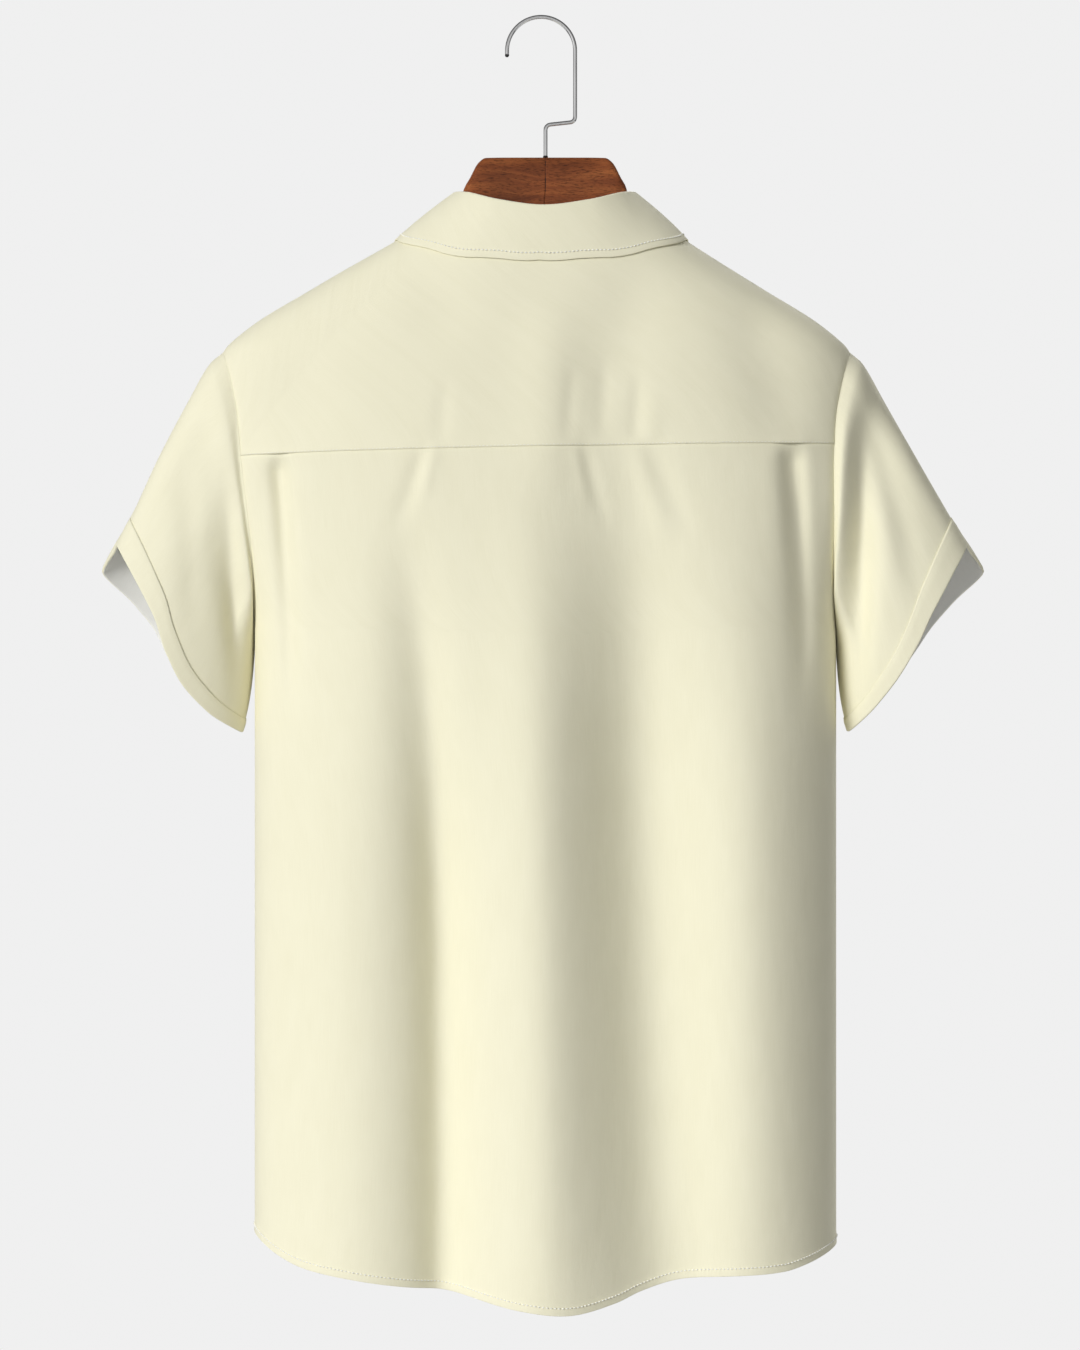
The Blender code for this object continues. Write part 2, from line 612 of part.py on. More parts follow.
def build_lapel(name, side, foot_z, tip):
    """It starts with a roll round the front's edge and then lies on the front."""
    outer = along_path((LAPEL_NOTCH, LAPEL_POINT, tip), LAPEL_EDGE_STEPS, LAPEL_BELLY)
    roll_z = np.linspace(LAPEL_TOP_Z, foot_z, len(outer))
    roll = np.stack([front_edge_x(roll_z) - LAPEL_CLEAR, roll_z], axis=-1)
    turns = np.radians(np.linspace(*LAPEL_ROLL_TURNS, LAPEL_ROLL_STEPS))
    rolled = [(LAPEL_ROLL * cos(a), LAPEL_RISE - LAPEL_ROLL + LAPEL_ROLL * sin(a)) for a in turns]
    flat = np.arange(1, LAPEL_FLAT_STEPS + 1) / LAPEL_FLAT_STEPS
    points = np.zeros((len(roll), len(rolled) + len(flat), 3))
    for row, (start, end) in enumerate(zip(roll, outer)):
        run = end - start
        length = np.linalg.norm(run)
        section = rolled + [(length * share, LAPEL_RISE) for share in flat]
        for col, (across, rise) in enumerate(section):
            x, z = start + run / length * across
            x = np.float64(side * x)
            points[row, col] = front_face(x, z, side) + rise * front_normal(x, z, side)
    if side > 0:
        points = points[:, ::-1]
    cloth(name, points)


def collar_column(value, odd=False):
    """A curve over the whole collar, from its right front end (-1) to its left one (1)."""
    rows = [row for row in COLLAR if row.at > 0]
    keys = [-row.at for row in rows[::-1]] + [row.at for row in COLLAR]
    mirrored = [(-1 if odd else 1) * getattr(row, value) for row in rows[::-1]]
    return smooth_curve(keys, mirrored + [getattr(row, value) for row in COLLAR])


def neck_edge(at):
    """The collar's sewn edge, at the neckline and then down the front's edge."""
    side, at = (1 if at >= 0 else -1), abs(at)
    if at <= COLLAR_SHOULDER:
        x, over = neckline(90 * at / COLLAR_SHOULDER)
        return over_shoulder(side * x, over)
    seam = ridge_z(NECK_WIDTH) - SHOULDER_SEAM**2
    z = blend(seam, COLLAR_ENDS_Z, (at - COLLAR_SHOULDER) / (1 - COLLAR_SHOULDER))
    x = min(float(front_edge_x(z)), NECK_WIDTH)
    return front_face(np.float64(side * x), np.float64(z), side)


def unit(vector):
    return vector / np.linalg.norm(vector)


def build_collar():
    """One folded wall: the stand rises inside the neck, rolls over and falls onto the yoke."""
    stations = np.linspace(-1, 1, COLLAR_STATIONS)
    fold = np.stack(
        [
            collar_column("fold_x", odd=True)(stations),
            collar_column("fold_y")(stations),
            collar_column("fold_z")(stations),
        ],
        axis=-1,
    )
    edge_x, edge_over = collar_column("edge_x", odd=True)(stations), collar_column("edge_over")(stations)
    step = 2 * PROBE
    edge = over_shoulder(edge_x, edge_over)
    out = np.cross(
        over_shoulder(edge_x + step, edge_over) - over_shoulder(edge_x - step, edge_over),
        over_shoulder(edge_x, edge_over - step) - over_shoulder(edge_x, edge_over + step),
    )
    out = -out / np.linalg.norm(out, axis=-1, keepdims=True)
    edge = edge + COLLAR_RISE * out
    tangent = np.gradient(fold, axis=0)
    stand = np.linspace(0, 1, COLLAR_STAND_ROWS + 1)[:-1]
    fall = np.linspace(0, 1, COLLAR_FALL_ROWS + 1)[1:]
    points = np.zeros((len(stand) + COLLAR_ROLL_ROWS + len(fall), len(stations), 3))
    for col, at in enumerate(stations):
        along = unit(tangent[col])
        base = neck_edge(at)
        radial = unit(np.array([base[0], base[1], 0]))
        base = base - CLOTH * radial + np.array([0, 0, STAND_GAP])
        down_in, down_out = base - fold[col], edge[col] - fold[col]
        down_in = unit(down_in - along * np.dot(down_in, along))
        down_out = unit(down_out - along * np.dot(down_out, along))
        axis = unit(down_in + down_out)
        cross = unit(np.cross(along, axis))
        cross = cross * np.sign(np.dot(cross, down_out - down_in))
        centre = fold[col] + axis * COLLAR_ROLL
        first = -np.arctan2(np.dot(down_in, axis), -np.dot(down_in, cross))
        last = np.arctan2(np.dot(down_out, axis), np.dot(down_out, cross))
        turns = np.linspace(first, last, COLLAR_ROLL_ROWS)
        arc = [centre + COLLAR_ROLL * (-axis * cos(a) + cross * sin(a)) for a in turns]
        rising = [blend(base, arc[0], t) for t in stand]
        lift = unit(np.cross(along, arc[-1] - edge[col]))
        lift = lift * np.sign(np.dot(lift, cross))
        falling = [blend(arc[-1], edge[col], t) + lift * COLLAR_BULGE * 4 * t * (1 - t) for t in fall]
        points[:, col] = rising + arc + falling
    cloth("collar", points)


def direction(angle):
    return np.array([cos(angle), sin(angle)])


def sleeve_ring_angles(side):
    """Round the armhole once, from the shoulder's end down the front and up the back."""
    front = np.abs(yoke_angles(side)[YOKE_BACK_STEPS:])
    down = np.concatenate([front, front_angles()[1:]])
    up = np.concatenate([back_angles(side)[::-1], yoke_angles(side)[1:YOKE_BACK_STEPS]])
    return np.concatenate([down, 360 - up[1:]]), len(down) - 1


def sleeve_points(side, ts):
    """Rings of points from the armhole (t = 0) to the turned-up end (t = 1)."""
    around, bottom = sleeve_ring_angles(side)
    is_front = np.arange(len(around)) <= bottom
    x, z = armhole(np.where(around <= 180, around, 360 - around))
    y = np.where(is_front, body_y(side * x, z, False), body_y(side * x, z, True))
    y[[0, bottom]] = 0
    start = np.stack([x + 2 * SEAM, y, z], axis=-1)
    turn = np.radians(around)
    top, low = np.array(CUFF_TOP), np.array(CUFF_BOTTOM)
    upward, outward = (top - low) / 2, unit(np.array([top[1] - low[1], low[0] - top[0]]))
    end_xz = (top + low) / 2 + np.cos(turn)[:, None] * upward
    past = front_reach(around) + CUFF_BOW_DEPTH[side] * cuff_bow((1 - np.cos(turn)) / 2)
    end_xz = end_xz + past[:, None] * outward
    end_y = -CUFF_HALF_DEPTH * np.sign(np.sin(turn)) * np.abs(np.sin(turn)) ** CUFF_FULLNESS
    end = np.stack([end_xz[:, 0], end_y, end_xz[:, 1]], axis=-1)
    high = ((1 + np.cos(turn)) / 2)[:, None]
    runs = []
    for length, angle in (0, 1), (2, 3):
        top_run = SLEEVE_TOP_RUN[length] * direction(SLEEVE_TOP_RUN[angle])
        low_run = SLEEVE_BOTTOM_RUN[length] * direction(SLEEVE_BOTTOM_RUN[angle])
        run = high * top_run + (1 - high) * low_run
        runs.append(np.stack([run[:, 0], 0 * turn, run[:, 1]], axis=-1))
    rings = np.array([hermite(start, runs[0], end, runs[1], t) for t in ts])
    out = normals_of(rings, closed=True)
    for crease in SLEEVE_CREASES:
        if crease.side != side:
            continue
        apart = (around - (360 - crease.around) + 180) % 360 - 180
        shape = np.exp(-0.5 * (apart / crease.width_around) ** 2)
        along = np.exp(-0.5 * ((np.array(ts) - crease.along) / crease.width_along) ** 2)
        along = along * ease(np.array(ts) / ARMHOLE_PLAIN)
        shape = shape * ease(np.abs(around - 180) / UNDERARM_PLAIN)
        rings = rings - crease.depth * along[:, None, None] * shape[None, :, None] * out
    rings[..., 0] *= side
    return rings[:, ::-1] if side < 0 else rings


def hermite(start, start_run, end, end_run, t):
    return (
        (1 + 2 * t) * (1 - t) ** 2 * start
        + t * (1 - t) ** 2 * start_run
        + t * t * (3 - 2 * t) * end
        - t * t * (1 - t) * end_run
    )


def build_sleeve(word, side):
    """A tube, and round its end the band that is turned up."""
    rings = sleeve_points(side, np.linspace(0, SLEEVE_END, SLEEVE_RINGS))
    cloth(f"sleeve_{word}", rings, closed=True)
    band = sleeve_points(side, np.linspace(1 - CUFF_BAND, 1, BAND_RINGS))
    band = band + CUFF_RISE * normals_of(band, closed=True)
    cloth(f"cuff_{word}", band, closed=True)


def build_buttons():
    """Each is turned, with a raised rim, and lies on the left front with its face to -Y."""
    for number in range(BUTTONS):
        name = f"button_{number + 1}"
        mesh = bpy.data.meshes.new(name)
        shape = bmesh.new()
        verts = [shape.verts.new((turn.radius, 0, turn.height)) for turn in BUTTON_PROFILE]
        for first, second in zip(verts, verts[1:]):
            shape.edges.new((first, second))
        shape.to_mesh(mesh)
        shape.free()
        made = add_object(name, mesh, (PEARL, 0.25))
        screw = made.modifiers.new("turned", "SCREW")
        screw.steps = screw.render_steps = BUTTON_SIDES
        screw.use_merge_vertices = True
        screw.merge_threshold = MERGE
        z = np.float64(BUTTON_TOP_Z - BUTTON_PITCH * number)
        face = front_face(np.float64(0), z, 1)
        slope = front_normal(np.float64(0), z, 1)
        made.rotation_euler = (np.arctan2(-slope[1], slope[2]), 0, 0)
        made.location = face + slope * BUTTON_GAP + np.array([lean(z), 0, 0])


def build_wood(name, side):
    """One half of the hanger: rounded cross-sections from the glued joint to the arm's end."""
    block = np.linspace(WOOD_HALF_JOINT, WOOD_BLOCK_X, 3)
    stations = np.concatenate([block, [row.x for row in WOOD if row.x > WOOD_BLOCK_X]])
    turns = np.linspace(0, 2 * pi, WOOD_SIDES + 1)[:-1]
    power = 2 / WOOD_ROUNDNESS
    points = np.zeros((len(stations), len(turns), 3))
    for row, x in enumerate(stations):
        top = wood_top(x)
        if x > WOOD_ARM_X:
            top = min(top, ridge_z(x) - CLOTH - WOOD_GAP)
        bottom = wood_bottom(x)
        high, deep = (top - bottom) / 2, wood_half_depth(x)
        c, s = np.cos(turns), np.sin(turns)
        points[row, :, 0] = side * x
        points[row, :, 1] = deep * np.sign(s) * np.abs(s) ** power
        points[row, :, 2] = (top + bottom) / 2 + high * np.sign(c) * np.abs(c) ** power
    points[..., 0] += lean(points[..., 2])
    points[0, :, 0] = side * WOOD_HALF_JOINT
    if side > 0:
        points = points[:, ::-1]
    mesh = grid_mesh(name, points, True)
    shape = bmesh.new()
    shape.from_mesh(mesh)
    bmesh.ops.holes_fill(shape, edges=shape.edges, sides=len(turns))
    bmesh.ops.recalc_face_normals(shape, faces=shape.faces)
    shape.to_mesh(mesh)
    shape.free()
    mesh.shade_smooth()
    add_object(name, mesh, (WALNUT, 0.35))


def build_hook():
    """Bent wire: a short straight tip, the round hook, a straight bar, a jog to the middle, a post."""
    centre_z = WIRE - HOOK_RADIUS
    route = [(HOOK_RADIUS, centre_z - HOOK_TIP_DROP)]
    for angle in np.linspace(0, pi, HOOK_TURNS):
        route.append((HOOK_RADIUS * cos(angle), centre_z + HOOK_RADIUS * sin(angle)))
    corners = (
        (-HOOK_RADIUS, HOOK_BAR_Z),
        (-HOOK_RADIUS, HOOK_JOG_START_Z),
        (MID_X, HOOK_JOG_END_Z),
        (MID_X, wood_top(0) + SEAM),
    )
    route.append(corners[0])
    for before, corner, after in zip(corners, corners[1:], corners[2:]):
        before, corner, after = np.array(before), np.array(corner), np.array(after)
        start = corner + unit(before - corner) * HOOK_BEND
        end = corner + unit(after - corner) * HOOK_BEND
        for t in np.linspace(0, 1, HOOK_BEND_POINTS):
            route.append(blend(blend(start, corner, t), blend(corner, end, t), t))
    route.append(corners[-1])
    curve = bpy.data.curves.new("hanger_hook", "CURVE")
    curve.dimensions = "3D"
    curve.bevel_depth = WIRE
    curve.bevel_resolution = 2
    curve.use_fill_caps = True
    spline = curve.splines.new("POLY")
    spline.points.add(len(route) - 1)
    for point, (x, z) in zip(spline.points, route):
        point.co = (x - MID_X, 0, z, 1)
    add_object("hanger_hook", curve, (STEEL, 0.12, 1.0))


def main():
    for old in list(bpy.data.objects):
        bpy.data.objects.remove(old)
    parts = bpy.data.collections.new("hawaiian_shirt_on_hanger")
    bpy.context.scene.collection.children.link(parts)
    middle = bpy.data.objects.new("shirt_middle", None)
    middle.location = (MID_X, 0, 0)
    parts.objects.link(middle)
    build_back()
    build_yoke()
    build_front("front_left", 1)
    build_front("front_right", -1)
    build_lapel("lapel_left", 1, LEFT_LAPEL_FOOT_Z, LEFT_LAPEL_TIP)
    build_lapel("lapel_right", -1, RIGHT_LAPEL_FOOT_Z, RIGHT_LAPEL_TIP)
    build_collar()
    build_sleeve("left", 1)
    build_sleeve("right", -1)
    build_buttons()
    build_wood("hanger_left", 1)
    build_wood("hanger_right", -1)
    build_hook()


main()
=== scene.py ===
"""The looks of a short-sleeved shirt that hangs on a wooden hanger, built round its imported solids.

Units are metres, +Z is up, the shirt's front faces -Y and its wearer's left is +X. The tables and the
functions of the first half repeat those of the solids, so every piece of cloth lies where its solid is.
The camera looks at the shirt's back, as the photograph does, and its left is +X.
"""

from collections import namedtuple
from math import cos, hypot, pi, radians, sin

import bmesh
import bpy
import numpy as np
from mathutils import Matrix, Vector


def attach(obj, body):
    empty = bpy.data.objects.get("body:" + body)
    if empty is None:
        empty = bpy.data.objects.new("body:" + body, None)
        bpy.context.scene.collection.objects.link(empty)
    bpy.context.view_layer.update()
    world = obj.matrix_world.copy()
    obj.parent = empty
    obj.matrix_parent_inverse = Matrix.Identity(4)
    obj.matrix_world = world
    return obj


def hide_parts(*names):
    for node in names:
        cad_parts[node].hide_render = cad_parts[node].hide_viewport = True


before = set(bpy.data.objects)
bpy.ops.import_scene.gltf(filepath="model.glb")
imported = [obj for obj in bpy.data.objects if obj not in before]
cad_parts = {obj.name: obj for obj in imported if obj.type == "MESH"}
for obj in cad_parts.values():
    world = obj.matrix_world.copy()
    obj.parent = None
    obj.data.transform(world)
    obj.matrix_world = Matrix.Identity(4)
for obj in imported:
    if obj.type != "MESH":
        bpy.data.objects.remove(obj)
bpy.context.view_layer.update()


def table(kind, *rows):
    return tuple(kind(*row) for row in rows)



MID_X = -0.0032  # the shirt's middle, which hangs a little to one side of the hook's seat
ROUNDNESS = 2.3  # exponent of the body's cross-section, where 2 is an ellipse
SIDE_FADE = 8  # exponent with which the folds fade out towards the side seams
HEM_HALF_WIDTH = 0.2090
MERGE = 1e-6  # points closer than this become one
PROBE = 0.001  # step with which a surface's slope is found
SEAM_ROUNDS = 20  # in which a seam's end on the armhole is found

# The body's outline, row by row down from the top of the shoulder line.
Section = namedtuple("Section", "z half_width back_depth front_depth")
SECTIONS = table(
    Section,
    (-0.1195, 0.0, 0.034, 0.03),
    (-0.1235, 0.03, 0.036, 0.032),
    (-0.14, 0.07, 0.044, 0.04),
    (-0.1663, 0.1138, 0.0555, 0.05),
    (-0.1951, 0.162, 0.063, 0.0575),
    (-0.2239, 0.208, 0.068, 0.0615),
    (-0.24, 0.225, 0.071, 0.064),
    (-0.26, 0.232, 0.0735, 0.0665),
    (-0.3, 0.231, 0.078, 0.071),
    (-0.345, 0.225, 0.082, 0.0755),
    (-0.4, 0.214, 0.086, 0.08),
    (-0.435, 0.209, 0.0875, 0.082),
    (-0.5, 0.209, 0.09, 0.085),
    (-0.7, 0.209, 0.092, 0.086),
    (-0.94, 0.209, 0.095, 0.087),
)

# How far the whole shirt is pulled to +X, because it hangs crooked on the hanger.
Lean = namedtuple("Lean", "z shift")
LEANS = table(
    Lean,
    (-0.12, 0.0), (-0.15, 0.002), (-0.19, 0.0055), (-0.24, 0.0065), (-0.31, 0.006), (-0.36, 0.0034),
    (-0.42, 0.0008), (-0.45, 0.0),
)

# Long folds that run down each panel: where the fold lies at three heights, its depth (a crest's is
# negative), its half width, and between which heights it grows from nothing to its full depth.
FOLD_TOP, FOLD_MIDDLE, FOLD_HEM = -0.32, -0.55, -0.93
Fold = namedtuple("Fold", "name x_top x_middle x_hem depth width starts full sharp")
BACK_FOLDS = table(
    Fold,
    ("left trough", 0.104, 0.08, 0.0765, 0.025, 0.036, -0.3, -0.7, True),
    ("right trough", -0.057, -0.072, -0.097, 0.026, 0.036, -0.17, -0.62, False),
    ("middle crest", 0.004, 0.006, 0.006, -0.006, 0.026, -0.28, -0.6, False),
    ("left crest", 0.15, 0.146, 0.146, -0.004, 0.026, -0.34, -0.6, False),
    ("right crest", -0.14, -0.136, -0.13, -0.005, 0.022, -0.32, -0.6, False),
)
FRONT_FOLDS = table(
    Fold,
    ("left trough", 0.094, 0.086, 0.084, 0.019, 0.034, -0.33, -0.66, False),
    ("right trough", -0.09, -0.083, -0.078, 0.021, 0.032, -0.3, -0.7, True),
    ("left crest", 0.14, 0.144, 0.146, -0.004, 0.024, -0.36, -0.6, False),
    ("right crest", -0.136, -0.142, -0.144, -0.004, 0.024, -0.34, -0.6, False),
)
FOLD_POINT = 0.008  # half width of a sharp fold's rounded bottom

# One knife pleat near each end of the seam between back and yoke.
Pleat = namedtuple("Pleat", "x depth width")
PLEATS = (Pleat(0.1830, 0.0080, 0.0060), Pleat(-0.1790, 0.0080, 0.0060))
PLEAT_LENGTH = 0.21
PLEAT_OPENS = 0.014  # below the seam, from this share of its depth to all of it
PLEAT_CLOSED = 0.2

# Seams and edges.
YOKE_SEAM_Z, YOKE_SEAM_SLOPE = -0.3124, -0.0203
SHOULDER_SEAM = -0.148  # the yoke's front seam, as a place over the shoulder
NECK_WIDTH, NECK_REACH = 0.0715, 0.344
SHOULDER_Z, UNDERARM_Z = -0.2400, -0.4350
ARMHOLE_MIDDLE_Z, ARMHOLE_HALF = (SHOULDER_Z + UNDERARM_Z) / 2, (SHOULDER_Z - UNDERARM_Z) / 2
SHOULDER_LINE_END_Z, SHOULDER_LINE_POINTS = -0.2600, 4000
Edge = namedtuple("Edge", "z x")
ARMHOLE_EDGE = table(
    Edge,
    (-0.24, 0.225), (-0.26, 0.2185), (-0.29, 0.2125), (-0.345, 0.209), (-0.4, 0.2067),
    (-0.435, 0.209),
)
LAP = 0.018  # how far each front reaches past the middle
FRONT_EDGE = table(
    Edge,
    (-0.16, 0.074), (-0.175, 0.058), (-0.19, 0.0475), (-0.23, 0.025), (-0.27, 0.0022),
    (-0.3, -0.015), (-0.312, -LAP), (-0.94, -LAP),
)
LAP_RISE = 0.0012  # the left front lies this far out of the body's surface, and the right one in
LAP_FADE = (0.018, 0.050)
BACK_HEM = table(
    Edge,
    (-0.879, -0.209), (-0.887, -0.186), (-0.8911, -0.168), (-0.8933, -0.133), (-0.8958, -0.1),
    (-0.9042, -0.066), (-0.9105, -0.049), (-0.9165, -0.015), (-0.9133, 0.018), (-0.9071, 0.0515),
    (-0.8996, 0.102), (-0.8947, 0.135), (-0.8888, 0.171), (-0.8821, 0.189), (-0.8704, 0.209),
)
FRONT_HEM = table(
    Edge,
    (-0.879, -0.209), (-0.8905, -0.17), (-0.8935, -0.1), (-0.8985, -0.05), (-0.8965, 0.0),
    (-0.899, 0.05), (-0.893, 0.11), (-0.885, 0.17), (-0.8704, 0.209),
)

# The collar, from the middle of the back (0) to its front end (1): its fold line, and its outer edge
# as a place on the shoulders. The stand rises from the neck's edge, the last part along the front.
Collar = namedtuple("Collar", "at fold_x fold_y fold_z edge_x edge_over")
COLLAR = table(
    Collar,
    (0.0, 0.0, 0.049, -0.14, 0.0, 0.247),
    (0.22, 0.032, 0.044, -0.1355, 0.046, 0.224),
    (0.4, 0.055, 0.026, -0.128, 0.076, 0.17),
    (0.58, 0.064, 0.002, -0.1255, 0.102, 0.064),
    (0.72, 0.063, -0.02, -0.133, 0.1068, -0.085),
    (0.86, 0.0565, -0.04, -0.154, 0.1045, -0.19),
    (1.0, 0.049, -0.057, -0.1835, 0.099, -0.238),
)
COLLAR_SHOULDER = 0.78  # where the collar passes the shoulder seam
COLLAR_ENDS_Z = -0.1862
COLLAR_ROLL = 0.0022
COLLAR_RISE = 0.0013  # of its edge's outer face over the yoke
COLLAR_BULGE = 0.0015
STAND_GAP, STAND_BEHIND, STAND_DROPS = 0.0007, 0.0006, (0.0050, 0.0022)

# The turned-back facings, which lie on the fronts from the collar to the top button.
Spot = namedtuple("Spot", "x z")
LAPEL_TOP_Z, LAPEL_NOTCH, LAPEL_POINT = -0.1880, Spot(0.0735, -0.2008), Spot(0.0920, -0.2260)
LAPEL_BELLY = 0.006
LEFT_LAPEL_FOOT_Z, LEFT_LAPEL_TIP = -0.2990, Spot(-0.0130, -0.3035)
RIGHT_LAPEL_FOOT_Z, RIGHT_LAPEL_TIP = -0.2620, Spot(0.0150, -0.2880)
LAPEL_ROLL, LAPEL_RISE, LAPEL_CLEAR = 0.0020, 0.0024, 0.0004

# Sleeves, in the plane of the shirt: the turned-up end's highest and lowest points, and the
# directions in which the top and bottom lines leave the armhole and arrive there.
CUFF_TOP, CUFF_BOTTOM = Spot(0.3053, -0.3787), Spot(0.2175, -0.5120)
CUFF_HALF_DEPTH = 0.040
CUFF_FULLNESS = 0.85  # exponent of the opening's depth, where 1 is an ellipse
SLEEVE_TOP_RUN = (0.085, radians(-40), 0.160, radians(-61))
SLEEVE_BOTTOM_RUN = (0.070, radians(-90), 0.070, radians(-70))
# The sleeve's front half reaches past its back half, so its inside shows from behind.
Reach = namedtuple("Reach", "around past")
FRONT_REACHES = table(
    Reach,
    (0, 0.0), (12, 0.006), (28, 0.0225), (60, 0.015), (90, 0.008), (135, 0.0025), (180, 0.0),
    (360, 0.0),
)
# Between its highest and lowest points the turned-up end bows outwards, more on the left.
Bow = namedtuple("Bow", "down share")
CUFF_BOW = table(
    Bow,
    (0, 0), (0.36, 0.33), (0.52, 0.78), (0.68, 1), (0.84, 0.77), (1, 0.1),
)
CUFF_BOW_DEPTH = {1: 0.0155, -1: 0.0066}
Crease = namedtuple("Crease", "side around along depth width_around width_along")
SLEEVE_CREASES = table(
    Crease,
    (1, 90, 0.14, -0.004, 60, 0.09),
    (1, 100, 0.38, 0.0065, 34, 0.13),
    (1, 45, 0.6, 0.003, 16, 0.3),
    (1, 265, 0.4, 0.0055, 34, 0.14),
    (-1, 90, 0.14, -0.0045, 60, 0.09),
    (-1, 95, 0.36, 0.007, 40, 0.12),
    (-1, 50, 0.55, 0.003, 14, 0.34),
    (-1, 270, 0.42, 0.0055, 34, 0.14),
)
UNDERARM_PLAIN = 60  # degrees each side of the underarm in which the creases fade out
ARMHOLE_PLAIN = 0.12  # the same from the armhole, as a share of the sleeve's length
CUFF_BAND = 0.13  # share of the sleeve's length that the turned-up band covers

BUTTONS = 6
BUTTON_TOP_Z, BUTTON_PITCH = -0.312, 0.095
BUTTON_GAP = 0.0003
ButtonTurn = namedtuple("ButtonTurn", "radius height")

# The hanger: the outline of one half, and how thick it is. Where the shirt lies on it, its top
# follows the shoulders.
Wood = namedtuple("Wood", "x top bottom half_depth")
WOOD = table(
    Wood,
    (0.0, -0.1001, -0.15, 0.0078),
    (0.025, -0.1001, -0.154, 0.0078),
    (0.043, -0.1003, -0.162, 0.0079),
    (0.048, -0.1035, -0.1648, 0.008),
    (0.0545, -0.115, -0.1685, 0.0082),
    (0.059, -0.124, -0.171, 0.0084),
    (0.0602, -0.133, -0.172, 0.0085),
    (0.0612, -0.1405, -0.1725, 0.0085),
    (0.066, -0.143, -0.175, 0.0088),
    (0.085, -0.15, -0.1835, 0.01),
    (0.11, -0.165, -0.1965, 0.0115),
    (0.14, -0.183, -0.213, 0.0128),
    (0.17, -0.201, -0.23, 0.0138),
    (0.188, -0.213, -0.2405, 0.0138),
    (0.195, -0.219, -0.242, 0.0115),
    (0.1985, -0.225, -0.239, 0.007),
)
WOOD_BLOCK_X, WOOD_ARM_X = 0.043, 0.080  # where the flat top ends, and where the shoulders begin
WOOD_GAP = 0.0009  # under the yoke
WOOD_ROUNDNESS = 2.8

WIRE = 0.00148  # radius
HOOK_RADIUS = 0.0245  # to the wire's middle
HOOK_TIP_DROP = 0.003
HOOK_BAR_Z = -0.0680
HOOK_JOG_START_Z, HOOK_JOG_END_Z = -0.0741, -0.0764
HOOK_BEND, HOOK_STEPS, BEND_STEPS = 0.004, 72, 12
HOOK_BAR_FROM, HOOK_BAR_ROWS, HOOK_POST_Z = 0.004, 6, (-0.090, -0.098)
HOOK_SUNK, HOOK_TIP_CLOSED = 0.004, 0.05

# Smaller creases that only the looks have: soft troughs (a ridge's depth is negative) along straight
# runs over a panel, from (x_top, z_top) to (x_low, z_low).
Run = namedtuple("Run", "x_top z_top x_low z_low depth width")
RUN_PAST, RUN_FADE = 0.2, 0.5  # shares of its length by which a run goes past its ends, and fades
BACK_RUNS = table(
    Run,
    (0.079, -0.314, 0.0985, -0.364, 0.0016, 0.0045),
    (0.0715, -0.312, 0.0815, -0.346, -0.001, 0.0035),
    (0.065, -0.27, 0.067, -0.31, 0.0009, 0.004),
    (-0.032, -0.312, -0.044, -0.364, 0.0012, 0.004),
    (-0.027, -0.312, -0.032, -0.35, -0.0008, 0.003),
    (-0.068, -0.311, -0.086, -0.374, -0.0012, 0.005),
    (-0.079, -0.311, -0.104, -0.374, 0.001, 0.005),
    (-0.072, -0.264, -0.068, -0.307, 0.0012, 0.0035),
    (-0.084, -0.282, -0.079, -0.308, -0.0007, 0.004),
    (-0.025, -0.26, -0.021, -0.306, 0.0009, 0.0035),
    (-0.048, -0.254, -0.045, -0.303, 0.0009, 0.004),
    (0.083, -0.174, 0.06, -0.234, 0.0016, 0.016),
    (-0.075, -0.182, -0.045, -0.29, 0.003, 0.019),
    (0.18, -0.23, 0.156, -0.302, 0.0016, 0.016),
    (-0.15, -0.208, -0.18, -0.304, 0.0042, 0.017),
    (0.196, -0.33, 0.201, -0.43, 0.002, 0.005),
    (-0.198, -0.31, -0.196, -0.42, 0.002, 0.005),
    (0.093, -0.39, 0.07, -0.66, 0.006, 0.014),
    (0.068, -0.58, 0.065, -0.99, 0.011, 0.013),
    (0.108, -0.4, 0.11, -0.96, -0.005, 0.028),
    (0.006, -0.38, 0.0, -0.95, -0.005, 0.02),
    (-0.06, -0.36, -0.07, -0.95, 0.008, 0.022),
    (-0.01, -0.215, -0.008, -0.34, -0.003, 0.015),
    (-0.165, -0.4, -0.165, -0.92, -0.004, 0.024),
)
# The same along the pleats, which have their full depth this far below the seam.
PLEAT_RUNS_OPEN = 0.005
PLEAT_RUNS = (
    Run(0.1830, -0.3150, 0.1800, -0.4900, 0.0040, 0.0045),
    Run(-0.1860, -0.3150, -0.1840, -0.4700, 0.0040, 0.0050),
)
FRONT_RUNS = table(
    Run,
    (0.095, -0.19, 0.135, -0.305, 0.003, 0.016),
    (-0.1, -0.19, -0.138, -0.32, 0.0026, 0.015),
    (0.175, -0.245, 0.16, -0.36, 0.0026, 0.014),
    (-0.178, -0.245, -0.164, -0.37, 0.0026, 0.013),
    (0.008, -0.318, 0.052, -0.382, 0.0012, 0.008),
    (-0.026, -0.322, -0.062, -0.398, 0.0012, 0.008),
    (0.006, -0.411, 0.04, -0.46, 0.0009, 0.006),
    (0.006, -0.508, 0.036, -0.556, 0.0009, 0.006),
    (-0.024, -0.608, -0.056, -0.668, 0.001, 0.006),
    (0.198, -0.34, 0.2, -0.44, 0.0018, 0.006),
    (-0.198, -0.34, -0.199, -0.44, 0.0018, 0.006),
)

